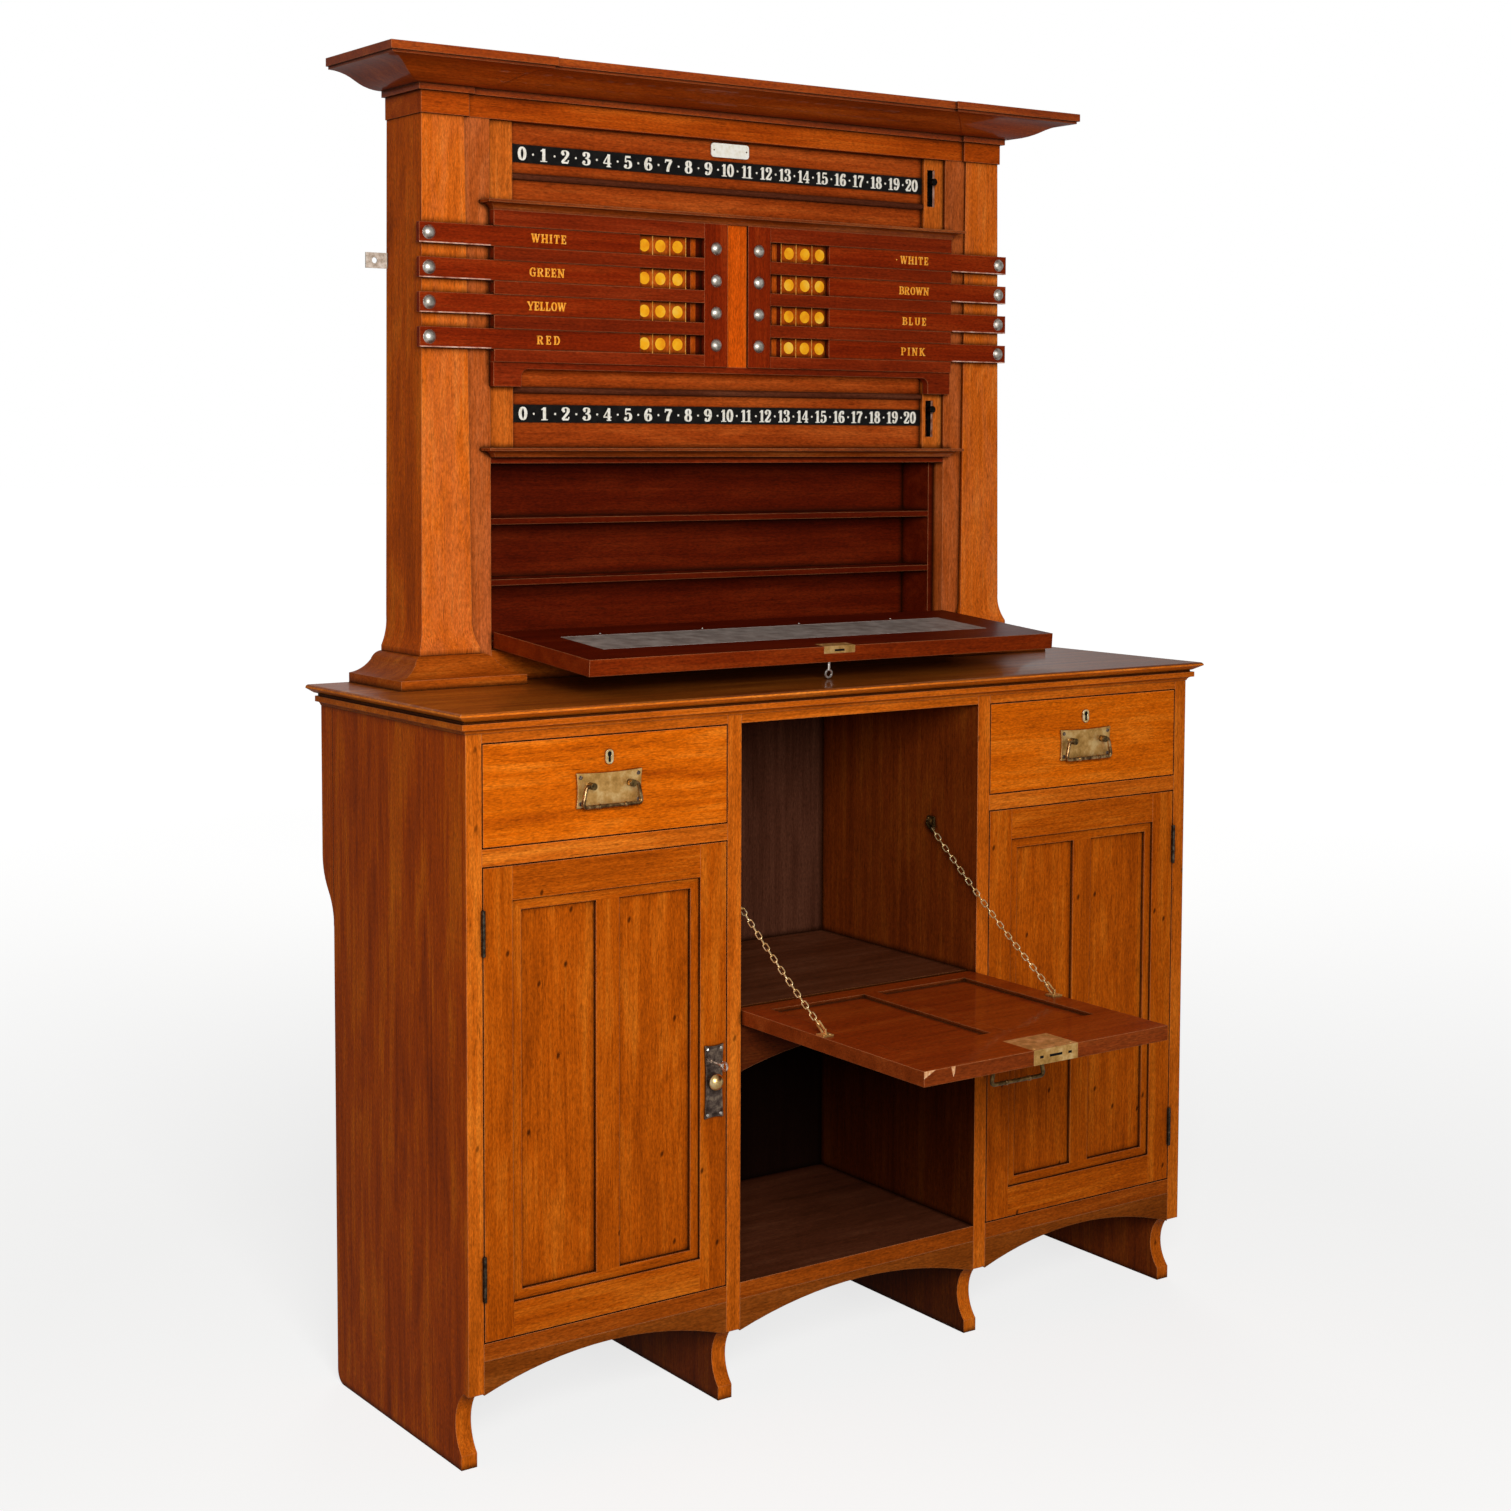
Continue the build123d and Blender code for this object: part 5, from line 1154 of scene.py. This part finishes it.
# Bare bone plate above the upper scale
maker = {"width": 0.066, "height": 0.02, "thickness": 0.0016, "corner": 0.0045, "middle": (0.0035, 1.6925),
         "screwSpread": 0.0285, "cornerSteps": 4, "boardSetBack": 0.006}
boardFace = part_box("number_boards")[0].y + maker["boardSetBack"]
plateOutline = []
for cx, cz, start in ((1, 1, 0.0), (-1, 1, 0.5), (-1, -1, 1.0), (1, -1, 1.5)):
    for i in range(maker["cornerSteps"] + 1):
        a = math.pi * (start + i / (2 * maker["cornerSteps"]))
        plateOutline.append((cx * (maker["width"] / 2 - maker["corner"]) + maker["corner"] * math.cos(a),
                             cz * (maker["height"] / 2 - maker["corner"]) + maker["corner"] * math.sin(a)))
x0, z0 = maker["middle"]
outer, inner = ([(x0 + x, y, z0 + z) for x, z in plateOutline]
                for y in (boardFace - maker["thickness"], boardFace))
points, faces = [], []
addPrism(points, faces, outer, inner)
makerPlate = newPiece("bonePlate", points, faces, bone)
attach(makerPlate, "cabinet")
pinRow("bonePlatePins", "cabinet",
       [((x0 + sign * maker["screwSpread"], boardFace - maker["thickness"], z0), forward)
        for sign in (-1, 1)], darkBrassAndShade)

# Wall eyes, wall plates, and the open seam between each side and its back strip
wallSide = {"eyeX": 0.2008, "eyeY": 0.0865, "eyeHeights": (0.724, 0.734), "plateX": (0.482, 0.503),
            "plateZ": 1.5175, "sunk": 0.0007, "seam": (0.625, 0.92), "seamWidth": 0.0011, "panelFace": 0.611,
            "seamProud": 0.0001, "eyeScale": 0.6, "plateScale": 1.3}
screwRow("wallEyeScrews", "cabinet",
         [((sign * wallSide["eyeX"], wallSide["eyeY"], z), (-sign, 0.0, 0.0))
          for sign in (-1, 1) for z in wallSide["eyeHeights"]], plateBrass, wallSide["eyeScale"])
screwRow("wallPlateScrews", "cabinet",
         [((sign * x, cadBox[1].y - wallSide["sunk"], wallSide["plateZ"]), backward)
          for sign in (-1, 1) for x in wallSide["plateX"]], paintedIron, wallSide["plateScale"])
seamLow, seamHigh = wallSide["seam"]
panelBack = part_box("left_side_panel")[1].y
inlay("backStripSeams", "cabinet",
      [((sign * wallSide["panelFace"], panelBack, (seamLow + seamHigh) / 2), (sign, 0.0, 0.0),
        seamHigh - seamLow, wallSide["seamWidth"]) for sign in (-1, 1)], wallSide["seamProud"], seamShade)

# Dark lines along each step of the door panels
doorSteps = {"frame": 0.003, "panel": 0.007, "inner": 0.0135, "muntin": 0.0175, "width": 0.0012,
             "proud": 0.00005}


def seamRing(left, right, low, high, y):
    half, across, up = doorSteps["width"] / 2, right - left, high - low
    return [((left + half, y, (low + high) / 2), forward, doorSteps["width"], up),
            ((right - half, y, (low + high) / 2), forward, doorSteps["width"], up),
            (((left + right) / 2, y, low + half), forward, across, doorSteps["width"]),
            (((left + right) / 2, y, high - half), forward, across, doorSteps["width"])]


for side in ("left", "right"):
    low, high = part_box(f"{side}_door")
    left, right = low.x + joinery["doorStile"], high.x - joinery["doorStile"]
    bottom, top = low.z + joinery["doorRail"], high.z - joinery["doorRail"]
    middle, inner = (left + right) / 2, doorSteps["inner"]
    rings = seamRing(left, right, bottom, top, front + doorSteps["frame"])
    panels = ((left + inner, middle - doorSteps["muntin"]), (middle + doorSteps["muntin"], right - inner))
    for start, end in panels:
        rings += seamRing(start, end, bottom + inner, top - inner, front + doorSteps["panel"])
    inlay(f"{side}DoorSeams", f"{side}_door", rings, doorSteps["proud"], seamShade)

# Painted highlight: a pale strip along the lower arris of each score bar where it stands out past the housing
barEnds = {"outer": 0.5115, "inner": 0.404, "half": 0.0135, "width": 0.0015}
for side, sign in (("left", -1), ("right", 1)):
    for row in range(1, lives["rows"] + 1):
        low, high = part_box(f"{side}_bar_{row}")
        foot = (low.z + high.z) / 2 - barEnds["half"] + barEnds["width"] / 2
        inlay(f"{side}BarEdge{row}", f"{side}_bar_{row}",
              [((sign * (barEnds["outer"] + barEnds["inner"]) / 2, low.y + joinery["stud"], foot), forward,
                barEnds["outer"] - barEnds["inner"], barEnds["width"])], doorSteps["proud"], paleEdgeHighlight)
# Painted highlight: a pale strip on the front of each peg slot's right-hand wall, which faces the light
pegSlots = {"wall": 0.3806, "depth": 0.0042, "heights": ((1.2832, 1.3383), (1.6341, 1.6892))}
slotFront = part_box("frame_stiles")[0].y
inlay("pegSlotHighlights", "cabinet",
      [((pegSlots["wall"], slotFront + pegSlots["depth"] / 2, (low + high) / 2), (-1.0, 0.0, 0.0), high - low,
        pegSlots["depth"]) for low, high in pegSlots["heights"]], doorSteps["proud"], paleEdgeHighlight)
print("door seams, bar edges and slot edges")

# Pale chips where the lower flap's front corner has been knocked
chips = {"proud": 0.00003, "outlines": (
    ((-0.202, 0.0), (-0.202, -0.009), (-0.196, -0.006), (-0.189, -0.0025), (-0.184, 0.0)),
    ((-0.16, 0.0), (-0.159, -0.006), (-0.1565, -0.013), (-0.1545, -0.008), (-0.1535, 0.0)))}
points, faces = [], []
for outline in chips["outlines"]:
    outer, inner = ([(x, flapLow.y + lift, flapHigh.z + z) for x, z in outline]
                    for lift in (-chips["proud"], chips["proud"]))
    addPrism(points, faces, outer, inner)
edgeChips = newPiece("flapEdgeChips", points, faces, bareWood)
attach(edgeChips, "lower_flap")
print("plate, seams and chips")

# Brass chains: oval wire links strung along a slightly slack line, every second link turned
chain = {"wallEnd": (0.07375, 0.725), "flapEnd": (-0.18125, 0.537), "x": 0.194, "links": 29, "sag": 0.006,
         "length": 0.0138, "width": 0.0074, "wire": 0.0016, "twist": 0.85, "cornerSteps": 4, "step": 0.02,
         "wireSides": 8, "bendShare": 0.49}


def linkShape(tree, given):
    innerWidth = addNode(tree, "ShaderNodeMath", {
        "operation": "SUBTRACT", 0: given.outputs["Width"], 1: given.outputs["Wire"]})
    innerLength = addNode(tree, "ShaderNodeMath", {
        "operation": "SUBTRACT", 0: given.outputs["Length"], 1: given.outputs["Wire"]})
    oval = addNode(tree, "GeometryNodeCurvePrimitiveQuadrilateral", {
        "Width": innerWidth.outputs[0], "Height": innerLength.outputs[0]})
    bend = addNode(tree, "ShaderNodeMath", {
        "operation": "MULTIPLY", 1: chain["bendShare"], 0: innerWidth.outputs[0]})
    rounded = addNode(tree, "GeometryNodeFilletCurve", {
        "mode": "POLY", "Count": chain["cornerSteps"], "Curve": oval.outputs[0], "Radius": bend.outputs[0]})
    wireHalf = addNode(tree, "ShaderNodeMath", {"operation": "MULTIPLY", 1: 0.5, 0: given.outputs["Wire"]})
    wire = addNode(tree, "GeometryNodeCurvePrimitiveCircle", {
        "mode": "RADIUS", "Resolution": chain["wireSides"], "Radius": wireHalf.outputs[0]})
    link = addNode(tree, "GeometryNodeCurveToMesh", {
        "Curve": rounded.outputs[0], "Profile Curve": wire.outputs[0]})
    smoothed = addNode(tree, "GeometryNodeSetShadeSmooth", {"Geometry": link.outputs[0]})
    return smoothed.outputs[0]


def chainPoint(share):
    (y0, z0), (y1, z1) = chain["wallEnd"], chain["flapEnd"]
    return y0 + (y1 - y0) * share, z0 + (z1 - z0) * share - 4 * chain["sag"] * share * (1 - share)


linkSpots = []
for sign in (-1, 1):
    for link in range(1, chain["links"] + 1):
        share = link / (chain["links"] + 1)
        y, z = chainPoint(share)
        (ya, za), (yb, zb) = chainPoint(share - chain["step"]), chainPoint(share + chain["step"])
        spin = chain["twist"] + (link % 2) * math.pi / 2
        linkSpots.append(((sign * chain["x"], y, z), (0.0, yb - ya, zb - za), spin, plainSize))
linkTree = pointTree("linkedChain", ("Length", "Width", "Wire"), linkShape, "Y")
chains = growPiece("brassChains", linkSpots, linkTree,
                   {"Length": chain["length"], "Width": chain["width"], "Wire": chain["wire"],
                    "Material": chainBrass})
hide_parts("chains")
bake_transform(chains)
print("chains", len(chains.data.polygons), "faces")
